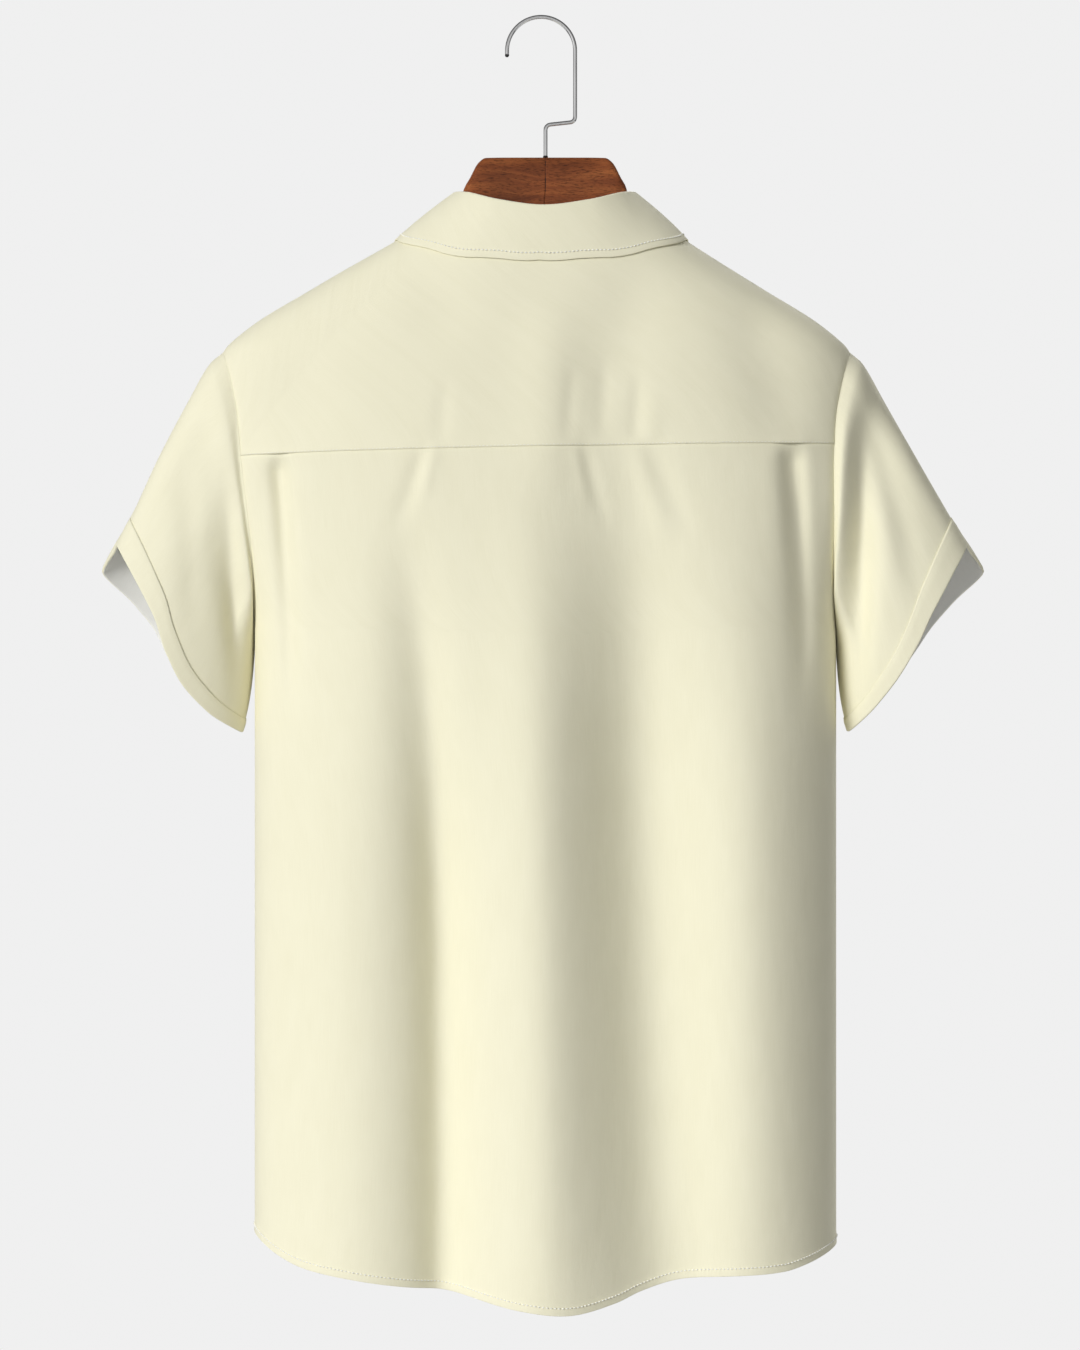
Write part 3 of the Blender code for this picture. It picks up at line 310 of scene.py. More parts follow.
# How the cloth is made up.
WALL = 0.0005  # thickness of the cloth
GROOVE, GROOVE_REACH, GROOVE_FADE = 0.0006, 0.0022, 0.006  # of the armhole's seam
YOKE_LIFT, YOKE_LIFT_REACH = 0.00030, 0.0050  # the yoke's folded edge over the back
HEM_HEIGHT, HEM_RISE, HEM_STEP = 0.0050, 0.00035, 0.0012
EDGE_STITCH = 0.0055  # from the collar's, the lapels' and the fronts' edges
FOLD_RADIUS, FOLD_STEPS, SOFTENED_STEPS = 0.0005, 6, 2
CUFF_LIFT, CUFF_INSIDE, CUFF_TURN_IN = 0.0011, 0.0010, 0.016
TUCK, TUCK_SHARES = 0.0060, (1.0, 0.5, 0.12)  # how far a panel runs on under its neighbour

# How finely each piece is divided.
BACK_COLUMNS, FRONT_COLUMNS, SIDE_ROWS = 190, 84, 96
SPREAD_SAMPLES, HEM_EXTRA_ROWS, YOKE_EXTRA_ROWS = 2001, 10, 6
UNDER_STEPS, YOKE_BACK_STEPS, YOKE_FRONT_STEPS, FRONT_STEPS = 54, 26, 10, 60
YOKE_SEAM_COLUMNS, YOKE_CORNER_TURN, YOKE_ROWS = 130, 40.0, 34
COLLAR_STATIONS, COLLAR_STAND_ROWS, COLLAR_ROLL_ROWS, COLLAR_FALL_ROWS = 181, 8, 14, 18
LAPEL_EDGE_STEPS, LAPEL_ROLL_TURNS, LAPEL_ROLL_STEPS, LAPEL_FLAT_STEPS = (14, 40), (205, 90), 12, 22
SLEEVE_STARTS, SLEEVE_RINGS, BAND_RINGS = (0, 0.004, 0.009, 0.016, 0.026), 44, 12
Crowd = namedtuple("Crowd", "at width weight")
BACK_CROWDS = table(
    Crowd,
    (0.871, 0.03, 3.0),
    (-0.852, 0.03, 3.0),
    (0.38, 0.06, 1.0),
    (-0.18, 0.18, 0.5),
    (-1.0, 0.012, 8.0),
    (1.0, 0.012, 8.0),
)
FRONT_CROWDS = (Crowd(-0.95, 0.04, 1.5), Crowd(1.0, 0.02, 5.0))

# More about how the cloth is made up.
FACING = 0.022  # how far the left front's edge is turned back inside
LEAF, LEAF_EDGE = 0.0008, 0.00025  # thickness of the collar's and the lapels' doubled cloth
LAPEL_INSIDE, LAPEL_STITCH_CLEAR = 0.010, 0.006
CUFF_EDGE_LIFT = 0.00065  # its sewn upper edge lies on the sleeve
CUFF_FOLD, CUFF_WALL = 0.993, 0.0005
SLEEVE_RUNS_OPEN = 0.04  # share of the sleeve's length
SLEEVE_RUNS = table(
    Run,
    (-0.232, -0.303, -0.219, -0.483, 0.006, 0.0065),
    (-0.241, -0.26, -0.266, -0.418, 0.003, 0.008),
    (0.218, -0.31, 0.217, -0.49, 0.005, 0.006),
    (0.252, -0.325, 0.249, -0.433, 0.003, 0.008),
)
BUTTON_ROUNDED = table(
    ButtonTurn,
    (0.0001, 0.00145), (0.0026, 0.00145), (0.0034, 0.0017), (0.0039, 0.0022), (0.0043, 0.0024),
    (0.0049, 0.0024), (0.0054, 0.00215), (0.0057, 0.00175), (0.0058, 0.0013), (0.0056, 0.0007),
    (0.005, 0.00025), (0.004, 0.0), (0.0001, 0.0),
)
BUTTON_HOLE, HOLE_APART, BUTTON_WELL = 0.00075, 0.00135, 0.00150
BUTTON_SIDES, BUTTON_SOFTENED, HOLE_PAST, DRILL_DEPTH, DRILL_RISE = 56, 0.00012, 0.0001, 0.008, 0.001
SEWN = (0.0100, 2 * HOLE_APART + 2 * HOLE_PAST, 0.00022, 0.0004)  # one stitch over each pair of holes
BUTTONHOLE, BOUND_PITCH, BOUND_NEAR, BOUND_FAR = 0.0165, 0.00042, 0.0002, 0.0013
BOUND = (0.0100, 0.00110, 0.00026, 0.00016)
WOOD_BOX_ROUNDNESS, WOOD_END = 4.6, 0.0012
WOOD_ROUNDS_X, WOOD_ROUNDS_OVER = 0.030, 0.04  # where the box begins to turn round, and over which length
WOOD_JOINT_X, WOOD_BLOCK_ROWS, WOOD_ARM_ROWS, WOOD_SIDES = (0.0, 0.0003, 0.0006, 0.0009), 24, 110, 72
JOINT_GAP, CLOSED = 0.00001, 0.02  # a closed end's last ring is this share of the one before
JOINT_DEPTH, JOINT_REACH = 0.00035, 0.0007  # the groove along the glued joint
GLUE_DEPTH, GLUE_HALF = 0.00012, 0.00030
TIP_RADIUS, FERRULE_RADIUS, FERRULE_RISE, FERRULE_FLAT = 0.00155, 0.0018, 0.0008, 0.8

WARP_PITCH, WEFT_PITCH = 0.00040, 0.00046
CREAM, CREAM_SHADE = (0.885, 0.852, 0.650), (0.860, 0.826, 0.621)
REVERSE, REVERSE_DARK = (0.930, 0.925, 0.880), (0.900, 0.895, 0.850)
THREAD_LIGHT, THREAD_DARK = (0.980, 0.975, 0.920), (0.950, 0.940, 0.850)
# A stitch's pitch, length, radius and rise, and its form along its length.
TOPSTITCH, YOKE_STITCH = (0.0028, 0.0018, 0.00046, 0.00038), (0.0026, 0.0018, 0.00016, 0.00018)
YOKE_STITCH_IN = 0.0011  # from the yoke's edge
Stop = namedtuple("Stop", "at rise width")
STITCH, STITCH_SIDES = table(Stop, (0, -1.2, 0.5), (0.22, 1, 1), (0.78, 1, 1), (1, -1.2, 0.5)), 5
PEARL, PEARL_DARK, PEARL_BRIGHT = (0.860, 0.835, 0.720), (0.700, 0.665, 0.530), (0.930, 0.920, 0.850)
WOOD_MIDDLE, WOOD_DARK, WOOD_LIGHT = (0.255, 0.071, 0.021), (0.155, 0.040, 0.013), (0.365, 0.116, 0.034)
CHROME, CHROME_DARK = (0.900, 0.900, 0.900), (0.780, 0.780, 0.780)
BLACK, GLUE = (0.020, 0.020, 0.020), (0.028, 0.010, 0.006)
LOOKS = {}

# What shows of each cut piece, laid flat: its sizes across and down, its area, and what it hangs on.
Cut = namedtuple("Cut", "name width length area on")
CUTS = table(
    Cut,
    ("back", 0.561, 0.618, 0.313, ("yoke",)),
    ("yoke", 0.47, 0.26, 0.092, ("hanger_left", "hanger_right")),
    ("front_left", 0.293, 0.777, 0.193, ("yoke",)),
    ("front_right", 0.271, 0.78, 0.178, ("yoke",)),
    ("lapel_left", 0.078, 0.165, 0.0068, ("front_left",)),
    ("lapel_right", 0.074, 0.132, 0.0057, ("front_right",)),
    ("collar", 0.447, 0.099, 0.027, ("yoke",)),
    ("sleeve_left", 0.456, 0.177, 0.0445, ("yoke", "back", "front_left")),
    ("sleeve_right", 0.46, 0.182, 0.0443, ("yoke", "back", "front_right")),
    ("cuff_left", 0.411, 0.045, 0.012, ("sleeve_left",)),
    ("cuff_right", 0.404, 0.047, 0.012, ("sleeve_right",)),
)

CAMERA_LENS, CAMERA_SENSOR, CAMERA_CLIP, CAMERA_PLACE = 96.3, 36.0, (0.1, 40), (0.00076, 2.6, -0.4723)
FILL, BACKDROP = 0.30, 0.87
# What polished pieces reflect, from the shirt's front (0) over the sides (0.5) to its back (1).
ROOM = ((0.0, 0.86), (0.22, 0.74), (0.36, 0.10), (0.54, 0.13), (0.68, 0.66), (0.84, 0.90), (1.0, 0.80))
ROOM_SIDE = ((0.0, 0.55), (0.45, 0.80), (0.55, 1.0), (1.0, 1.08))  # from -X to +X
ROOM_HEIGHT = ((0.05, 1.0), (0.30, 0.42), (1.0, 0.22))  # from its middle to its ceiling and its floor
FLOOR_Z, FLOOR_RADIUS = -1.75, 3.0
# Distant lights: azimuth from +Y towards +X, elevation, strength and angular size.
LIGHTS = (("key", 42, 19, 2.42, 22), ("front_key", 202, 24, 1.80, 30))


def hermite(start, start_run, end, end_run, t):
    """A curve's place at the share t, from its two ends and the directions in which it passes them."""
    return (
        (1 + 2 * t) * (1 - t) ** 2 * start
        + t * (1 - t) ** 2 * start_run
        + t * t * (3 - 2 * t) * end
        - t * t * (1 - t) * end_run
    )


def smooth_curve(keys, values):
    """A function that runs smoothly through the values, with no overshoot between them."""
    order = np.argsort(keys)
    at, value = np.array(keys, float)[order], np.array(values, float)[order]
    step, slope = np.diff(at), np.diff(value) / np.diff(at)
    tangent = np.concatenate([slope[:1], np.zeros(len(slope) - 1), slope[-1:]])
    for k in range(1, len(slope)):
        if slope[k - 1] * slope[k] > 0:
            near, far = 2 * step[k] + step[k - 1], step[k] + 2 * step[k - 1]
            tangent[k] = (near + far) / (near / slope[k - 1] + far / slope[k])

    def read(key):
        key = np.clip(key, at[0], at[-1])
        k = np.clip(np.searchsorted(at, key) - 1, 0, len(step) - 1)
        t = (key - at[k]) / step[k]
        return hermite(value[k], step[k] * tangent[k], value[k + 1], step[k] * tangent[k + 1], t)

    return read


def column(rows, key, value):
    return smooth_curve([getattr(row, key) for row in rows], [getattr(row, value) for row in rows])


half_width = column(SECTIONS, "z", "half_width")
back_depth = column(SECTIONS, "z", "back_depth")
front_depth = column(SECTIONS, "z", "front_depth")
lean = column(LEANS, "z", "shift")
armhole_x = column(ARMHOLE_EDGE, "z", "x")
front_edge_x = column(FRONT_EDGE, "z", "x")
back_hem_z = column(BACK_HEM, "x", "z")
front_hem_z = column(FRONT_HEM, "x", "z")
cuff_bow = column(CUFF_BOW, "down", "share")
front_reach = column(FRONT_REACHES, "around", "past")
wood_top = column(WOOD, "x", "top")
wood_bottom = column(WOOD, "x", "bottom")
wood_half_depth = column(WOOD, "x", "half_depth")

SHOULDER_LINE_Z = np.linspace(SHOULDER_LINE_END_Z, SECTIONS[0].z, SHOULDER_LINE_POINTS)
SHOULDER_LINE_X = half_width(SHOULDER_LINE_Z)


def unit(vectors):
    return vectors / np.linalg.norm(vectors, axis=-1, keepdims=True)


def lengths(vectors):
    return np.linalg.norm(vectors, axis=-1)


def runs_down(points):
    """How far each point lies from the first row, along its own column."""
    steps = lengths(np.diff(points, axis=0))
    return np.concatenate([np.zeros((1, *steps.shape[1:])), steps.cumsum(axis=0)])


def stacked(*values):
    return np.stack(values, axis=-1)


def ring_turns(count):
    return np.linspace(0, 2 * pi, count + 1)[:-1]


def yoke_seam_z(x):
    return YOKE_SEAM_Z + YOKE_SEAM_SLOPE * x


def shoulder_seam_z(x):
    return ridge_z(x) - SHOULDER_SEAM**2


def ridge_z(x):
    """Height of the shoulder line, where the body's front and back meet."""
    return np.interp(np.abs(x), SHOULDER_LINE_X[::-1], SHOULDER_LINE_Z[::-1])


def ease(t):
    t = np.clip(t, 0, 1)
    return t * t * (3 - 2 * t)


def fold_depth(folds, x, z):
    """How far the folds push the panel in at each place."""
    total = 0 * x
    for fold in folds:
        middle = smooth_curve((FOLD_TOP, FOLD_MIDDLE, FOLD_HEM), (fold.x_top, fold.x_middle, fold.x_hem))
        across = x - middle(z)
        grown = ease((z - fold.starts) / (fold.full - fold.starts))
        if fold.sharp:
            shape = np.exp((FOLD_POINT - np.sqrt(across**2 + FOLD_POINT**2)) / fold.width)
        else:
            shape = np.exp(-0.5 * (across / fold.width) ** 2)
        total = total + fold.depth * grown * shape
    return total


def pleat_depth(x, z):
    total = 0 * x
    for pleat in PLEATS:
        below = yoke_seam_z(x) - z
        open_ = blend(PLEAT_CLOSED, 1, ease(below / PLEAT_OPENS))
        fade = 1 - ease(below / PLEAT_LENGTH)
        shape = np.exp(-0.5 * ((x - pleat.x) / pleat.width) ** 2)
        total = total + np.where(below >= 0, pleat.depth * open_ * fade * shape, 0)
    return total


def run_depth(runs, x, z):
    """How far the smaller creases push a panel in."""
    total = 0 * x
    for run in runs:
        over, down = run.x_low - run.x_top, run.z_low - run.z_top
        length = hypot(over, down)
        along = ((x - run.x_top) * over + (z - run.z_top) * down) / length**2
        across = ((x - run.x_top) * down - (z - run.z_top) * over) / length
        ends = ease((along + RUN_PAST) / RUN_FADE) * ease((1 + RUN_PAST - along) / RUN_FADE)
        total = total + run.depth * ends * np.exp(-0.5 * (across / run.width) ** 2)
    return total


def body_y(x, z, back, pleats=False):
    """The body's outer face: how far behind the middle it lies, or in front of it, at (x, z)."""
    width = np.maximum(half_width(z), MERGE)
    share = np.clip(np.abs(x) / width, 0, 1)
    depth = (back_depth(z) if back else front_depth(z)) * (1 - share**ROUNDNESS) ** (1 / ROUNDNESS)
    pushed = fold_depth(BACK_FOLDS if back else FRONT_FOLDS, x, z)
    pushed = pushed + run_depth(BACK_RUNS if back else FRONT_RUNS, x, z)
    if pleats:
        below = yoke_seam_z(x) - z
        pushed = pushed + pleat_depth(x, z) + run_depth(PLEAT_RUNS, x, z) * ease(below / PLEAT_RUNS_OPEN)
    depth = np.maximum(depth - pushed * (1 - share**SIDE_FADE), 0)
    return depth if back else -depth


def over_shoulder(x, over):
    """A point of the yoke. The root of its drop below the shoulder line is "over", negative in front."""
    x, over = np.broadcast_arrays(x, over)
    z = ridge_z(x) - over**2
    y = np.where(over >= 0, body_y(x, z, True), body_y(x, z, False))
    return stacked(x, y, z)


def armhole(angles):
    """(x, z) along the armhole's edge: 0 degrees is the shoulder's end and 180 the underarm."""
    z = ARMHOLE_MIDDLE_Z + ARMHOLE_HALF * np.cos(np.radians(angles))
    return armhole_x(z), z


def angle_at(z):
    return float(np.degrees(np.arccos((z - ARMHOLE_MIDDLE_Z) / ARMHOLE_HALF)))


def yoke_seam_angle(side):
    """Where the yoke's back seam meets the armhole."""
    z = YOKE_SEAM_Z
    for _ in range(SEAM_ROUNDS):
        z = yoke_seam_z(side * armhole_x(z))
    return angle_at(z)


def shoulder_seam_angle():
    z = SHOULDER_Z
    for _ in range(SEAM_ROUNDS):
        z = shoulder_seam_z(armhole_x(z))
    return angle_at(z)


def back_angles(side):
    """Places round the armhole. The same ones serve the panel and the sleeve that it meets."""
    return np.linspace(yoke_seam_angle(side), 180, UNDER_STEPS + 1)


def yoke_angles(side):
    """From the back seam over the shoulder to the front one. The front's angles are negative."""
    behind = np.linspace(yoke_seam_angle(side), 0, YOKE_BACK_STEPS + 1)
    before = np.linspace(0, -shoulder_seam_angle(), YOKE_FRONT_STEPS + 1)
    return np.concatenate([behind, before[1:]])


def front_angles():
    return np.linspace(shoulder_seam_angle(), 180, FRONT_STEPS + 1)


def normals_of(points, closed=False):
    """Unit normals of a grid of points, whose rows may close into rings."""
    if closed:
        along = np.roll(points, -1, axis=1) - np.roll(points, 1, axis=1)
    else:
        along = np.gradient(points, axis=1)
    cross = np.cross(along, np.gradient(points, axis=0))
    return unit(cross)


def spread(count, crowds=(), edge=0.85):
    """Places from -1 to 1, closer together towards both ends and round each crowd (at, width, weight)."""
    at = np.linspace(-1, 1, SPREAD_SAMPLES)
    density = 1 / np.sqrt(1.0 + (1 - edge) ** 2 - at**2 * edge)
    for middle, width, weight in crowds:
        density = density + weight * np.exp(-0.5 * ((at - middle) / width) ** 2)
    total = np.concatenate([[0], np.cumsum((density[1:] + density[:-1]) / 2)])
    return np.interp(np.linspace(0, total[-1], count + 1), total, at)


def blend(first, second, t):
    return first + (second - first) * t


def lap_rise(x, side):
    """How far a front lies out of the body's surface near the middle, where the two fronts cross."""
    return side * LAP_RISE * (1 - ease((side * x - LAP_FADE[0]) / (LAP_FADE[1] - LAP_FADE[0])))


def front_face(x, z, side):
    return stacked(x, body_y(x, z, False) - lap_rise(x, side), z)


def front_normal(x, z, side):
    across = front_face(x + PROBE, z, side) - front_face(x - PROBE, z, side)
    up = front_face(x, z + PROBE, side) - front_face(x, z - PROBE, side)
    return unit(np.cross(across, up))


# ---- Materials


def node(tree, kind, inputs=(), **settings):
    """Adds a node. An input's value may be another node's output."""
    made = tree.nodes.new(kind)
    for key, value in settings.items():
        setattr(made, key, value)
    for key, value in dict(inputs).items():
        if isinstance(value, bpy.types.NodeSocket):
            tree.links.new(value, made.inputs[key])
        else:
            made.inputs[key].default_value = value
    return made


def calc(tree, operation, first, second):
    return node(tree, "ShaderNodeMath", {0: first, 1: second}, operation=operation).outputs[0]


def ramp(tree, factor, *stops):
    """Colours or greys between stops (place, colour)."""
    made = node(tree, "ShaderNodeValToRGB", {0: factor})
    elements = made.color_ramp.elements
    while len(elements) < len(stops):
        elements.new(0.5)
    for element, (place, colour) in zip(elements, stops):
        element.position = place
        element.color = (*colour, 1) if len(colour) == 3 else colour
    return made.outputs["Color"]


def new_material(name, colour, **sockets):
    """A material with one Principled shader, and what is the same all over set on it."""
    made = bpy.data.materials.new(name)
    made.use_nodes = True
    made.diffuse_color = (*colour, 1)
    shader = made.node_tree.nodes["Principled BSDF"]
    shader.inputs["Base Color"].default_value = (*colour, 1)
    for key, value in sockets.items():
        shader.inputs[key.replace("_", " ")].default_value = value
    return made, made.node_tree, shader


def stretched_noise(tree, vector, scale, detail, roughness=0.5):
    mapped = node(tree, "ShaderNodeMapping", {"Vector": vector, "Scale": scale})
    inputs = {"Vector": mapped.outputs[0], "Scale": 1.0, "Detail": detail, "Roughness": roughness}
    return node(tree, "ShaderNodeTexNoise", inputs).outputs[0]


def between(tree, value, low, high, start=0.0, end=1.0):
    """A value from low to high, where the given one goes from start to end."""
    inputs = {"Value": value, "From Min": start, "From Max": end, "To Min": low, "To Max": high}
    return node(tree, "ShaderNodeMapRange", inputs).outputs[0]


def bump(tree, height, strength, distance, **under):
    inputs = {"Height": height, "Strength": strength, "Distance": distance, **under}
    return node(tree, "ShaderNodeBump", inputs).outputs[0]


def waves(tree, vector, direction, **inputs):
    inputs = {key.replace("_", " "): value for key, value in inputs.items()}
    made = node(
        tree, "ShaderNodeTexWave", {"Vector": vector, **inputs}, wave_type="BANDS", bands_direction=direction
    )
    return made.outputs[1]


def weighed(tree, *parts):
    """The sum of two values, each given with its weight."""
    return calc(tree, "ADD", *(calc(tree, "MULTIPLY", value, weight) for value, weight in parts))


def object_place(tree):
    return node(tree, "ShaderNodeTexCoord").outputs["Object"]


def plug(tree, shader, **sockets):
    for key, value in sockets.items():
        tree.links.new(value, shader.inputs[key.replace("_", " ")])


def fabric(name, light, dark, weave):
    """Smooth viscose: fine warp threads over a weft, a little uneven in thickness and in colour."""
    made, tree, shader = new_material(
        name, light, Roughness=0.62, Specular_IOR_Level=0.28, Sheen_Weight=0.12, Sheen_Roughness=0.45
    )
    cloth_uv = node(tree, "ShaderNodeUVMap", uv_map="cloth").outputs[0]
    warp, weft = (
        waves(tree, cloth_uv, direction, Scale=2 * pi / (20 * pitch), Distortion=0.4, Detail=1.0)
        for direction, pitch in (("X", WARP_PITCH), ("Y", WEFT_PITCH))
    )
    slubs = stretched_noise(tree, cloth_uv, (1800, 45, 1), 3)
    lay = stretched_noise(tree, cloth_uv, (70, 26, 1), 4)
    colour = ramp(tree, weighed(tree, (slubs, 0.55), (lay, 0.45)), (0.36, dark), (0.62, light))
    woven = weighed(tree, (warp, 0.6), (weft, 0.4))
    woven = calc(tree, "ADD", woven, calc(tree, "MULTIPLY", slubs, 0.8))
    soft = bump(tree, lay, 0.6, 0.0006, Normal=bump(tree, woven, weave, 0.00006))
    plug(tree, shader, Base_Color=colour, Normal=soft, Roughness=between(tree, slubs, 0.54, 0.70))
    return made


def thread_material():
    made, tree, shader = new_material("thread", THREAD_LIGHT, Roughness=0.5, Sheen_Weight=0.2)
    twist = stretched_noise(tree, object_place(tree), (2600, 2600, 2600), 2)
    colour = ramp(tree, twist, (0.35, THREAD_DARK), (0.65, THREAD_LIGHT))
    plug(tree, shader, Base_Color=colour, Normal=bump(tree, twist, 0.5, 0.00008))
    return made


def pearl_material():
    """Polished resin with a cloudy, banded figure."""
    made, tree, shader = new_material(
        "pearl_resin", PEARL, Roughness=0.22, Coat_Weight=0.5, Coat_Roughness=0.08
    )
    place = object_place(tree)
    cloud = stretched_noise(tree, place, (210, 210, 520), 5, 0.6)
    bands = waves(tree, place, "DIAGONAL", Scale=32.0, Distortion=7.0, Detail=3.0, Detail_Scale=2.0)
    figure = weighed(tree, (cloud, 0.6), (bands, 0.4))
    plug(tree, shader, Base_Color=ramp(tree, figure, (0.25, PEARL_DARK), (0.5, PEARL), (0.8, PEARL_BRIGHT)))
    return made


def wood_material():
    """Reddish-brown stain under a gloss varnish, the grain running along the arms, with open pores."""
    made, tree, shader = new_material(
        "varnished_wood", WOOD_MIDDLE, Specular_IOR_Level=0.3, Coat_Weight=0.18, Coat_Roughness=0.25
    )
    place = object_place(tree)
    bend = calc(tree, "MULTIPLY", stretched_noise(tree, place, (9, 9, 26), 2), 0.02)
    bent = node(tree, "ShaderNodeCombineXYZ", {"Z": bend}).outputs[0]
    grain_at = node(tree, "ShaderNodeVectorMath", {0: place, 1: bent}, operation="ADD").outputs[0]
    figure = stretched_noise(tree, grain_at, (14, 90, 210), 5, 0.62)
    pores = stretched_noise(tree, grain_at, (260, 1500, 1700), 3, 0.6)
    patch = stretched_noise(tree, place, (16, 16, 24), 2)
    colour = ramp(tree, figure, (0.28, WOOD_DARK), (0.5, WOOD_MIDDLE), (0.74, WOOD_LIGHT))
    shade = between(tree, patch, 0.66, 1.28, 0.3, 0.7)
    stain = node(tree, "ShaderNodeHueSaturation", {"Color": colour, "Value": shade}).outputs[0]
    speck = ramp(tree, pores, (0.34, (0.42, 0.42, 0.42)), (0.5, (1, 1, 1)))
    mixed = node(tree, "ShaderNodeVectorMath", {0: stain, 1: speck}, operation="MULTIPLY").outputs[0]
    rough = between(tree, pores, 0.55, 0.36, 0.3, 0.6)
    plug(tree, shader, Base_Color=mixed, Roughness=rough, Normal=bump(tree, pores, 0.35, 0.00025))
    return made


def chrome_material():
    """Plated wire with faint draw marks along it."""
    made, tree, shader = new_material("plated_wire", CHROME, Metallic=1.0, Roughness=0.14)
    marks = stretched_noise(tree, object_place(tree), (900, 900, 60), 3)
    colour = ramp(tree, marks, (0.3, CHROME_DARK), (0.6, CHROME))
    plug(tree, shader, Base_Color=colour, Roughness=between(tree, marks, 0.08, 0.2))
    return made


def rubber_material():
    made, tree, shader = new_material("black_tip", BLACK, Roughness=0.45)
    grain = stretched_noise(tree, object_place(tree), (1500, 1500, 1500), 2)
    plug(tree, shader, Roughness=between(tree, grain, 0.35, 0.6))
    return made


def glue_material():
    made, tree, shader = new_material("dark_glue", GLUE, Roughness=0.6)
    beads = stretched_noise(tree, object_place(tree), (500, 500, 420), 2)
    plug(tree, shader, Base_Color=ramp(tree, beads, (0.42, GLUE), (0.58, WOOD_DARK)))
    return made


# ---- Pieces


def finished_mesh(name, shape):
    mesh = bpy.data.meshes.new(name)
    shape.to_mesh(mesh)
    shape.free()
    return mesh


def linked(name, data):
    made = bpy.data.objects.new(name, data)
    bpy.context.scene.collection.objects.link(made)
    return made


def add_piece(name, mesh, materials, stands_for=()):
    made = linked(name, mesh)
    for material in materials:
        mesh.materials.append(LOOKS[material])
    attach(made, "root")
    if stands_for:
        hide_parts(*stands_for)
    return made


def hang(points):
    """Moves points from the shirt's own middle to where it hangs."""
    points = np.array(points, float)
    points[..., 0] += MID_X + lean(points[..., 2])
    return points


def grid_mesh(name, points, closed=False, reverse_from=None):
    """A mesh whose faces follow the points, rows of columns, with lengths of cloth as its UVs."""
    rows, columns = points.shape[:2]
    index = np.arange(rows * columns).reshape(rows, columns)
    if closed:
        left, right = index, np.roll(index, -1, axis=1)
        points_round = np.concatenate([points, points[:, :1]], axis=1)
    else:
        left, right = index[:, :-1], index[:, 1:]
        points_round = points
    faces = stacked(left[:-1], right[:-1], right[1:], left[1:])
    places = stacked(runs_down(points_round.transpose(1, 0, 2)).T, runs_down(points_round))
    corners = np.stack([places[:-1, :-1], places[:-1, 1:], places[1:, 1:], places[1:, :-1]], axis=-2)
    mesh = bpy.data.meshes.new(name)
    mesh.from_pydata(points.reshape(-1, 3).tolist(), [], faces.reshape(-1, 4).tolist())
    mesh.uv_layers.new(name="cloth").data.foreach_set("uv", corners.reshape(-1).astype(np.float32))
    if reverse_from is not None:
        slots = np.zeros(faces.shape[:2], np.int32)
        slots[reverse_from:] = 1
        mesh.polygons.foreach_set("material_index", slots.reshape(-1))
    mesh.shade_smooth()
    return mesh


def cloth(name, points, closed=False, thickness=WALL, edge=0.0, reverse_from=None, inside="reverse"):
    """A piece of cloth that stands for its solid. Its reverse shows inside."""
    mesh = grid_mesh(f"{name}_cloth", hang(points), closed, reverse_from)
    made = add_piece(f"{name}_cloth", mesh, ("face", inside, "face"), (name,))
    wall = made.modifiers.new("wall", "SOLIDIFY")
    wall.thickness, wall.offset, wall.material_offset = thickness, -1, 1
    if edge:
        softened = made.modifiers.new("softened", "BEVEL")
        softened.width, softened.segments = edge, SOFTENED_STEPS
        softened.limit_method, softened.angle_limit = "ANGLE", radians(50)


def turned_under(points, back, out=None):
    """Adds rows that turn the last row in round a small fold, and run back behind the rows before it."""
    out = normals_of(points) if out is None else out
    down = unit(points[-1] - points[-2])
    turns = np.linspace(0, pi, FOLD_STEPS + 1)[1:]
    folds = [points[-1] + FOLD_RADIUS * (down * sin(a) - out[-1] * (1 - cos(a))) for a in turns]
    near = lengths(points - points[-1:]).mean(axis=1)
    behind = (points - 2 * FOLD_RADIUS * out)[(near > FOLD_RADIUS) & (near < back)]
    return np.concatenate([points, folds, behind[::-1]])


def hem_band(points):
    """Raises the hem's band, whose cloth is doubled."""
    above = runs_down(points[::-1])[::-1]
    band = 1 - ease((above - HEM_HEIGHT) / HEM_STEP + 0.5)
    return points + normals_of(points) * (HEM_RISE * band)[..., None]


def crowd_rows(places, near_first=0, near_last=0):
    """Adds rows close to the first or the last of the places, for a seam's groove or a hem's band."""
    first = [blend(places[0], places[1], share) for share in np.linspace(0, 1, near_first + 2)[1:-1]]
    last = [blend(places[-2], places[-1], share) for share in np.linspace(0, 1, near_last + 2)[1:-1]]
    return np.concatenate([places[:1], first, places[1:-1], last, places[-1:]])


def tucked(points, drop, closed=False, out=None, up=None):
    """Adds rows before the first one, which run on under the neighbouring piece."""
    out = normals_of(points, closed)[0] if out is None else out
    up = unit(points[0] - points[1] if up is None else up)
    rows = [points[0] + up * TUCK * share - out * drop for share in TUCK_SHARES]
    return np.concatenate([rows, points])


def groove(edge_y, distance):
    """How far a panel or a sleeve dips at the armhole's seam, towards the shirt's middle."""
    deep = GROOVE * np.tanh(np.abs(edge_y) / GROOVE_FADE)
    return -np.sign(edge_y) * deep * np.exp(-((distance / GROOVE_REACH) ** 2))


def inset(points, distance):
    """The line on a piece that runs at one distance from its last row, with its normals."""
    normals, back = normals_of(points)[::-1], points[::-1]
    run = runs_down(back)
    path, out = np.zeros(back.shape[1:]), np.zeros(back.shape[1:])
    for col, axis in np.ndindex(path.shape):
        path[col, axis] = np.interp(distance, run[:, col], back[:, col, axis])
        out[col, axis] = np.interp(distance, run[:, col], normals[:, col, axis])
    return path, unit(out)


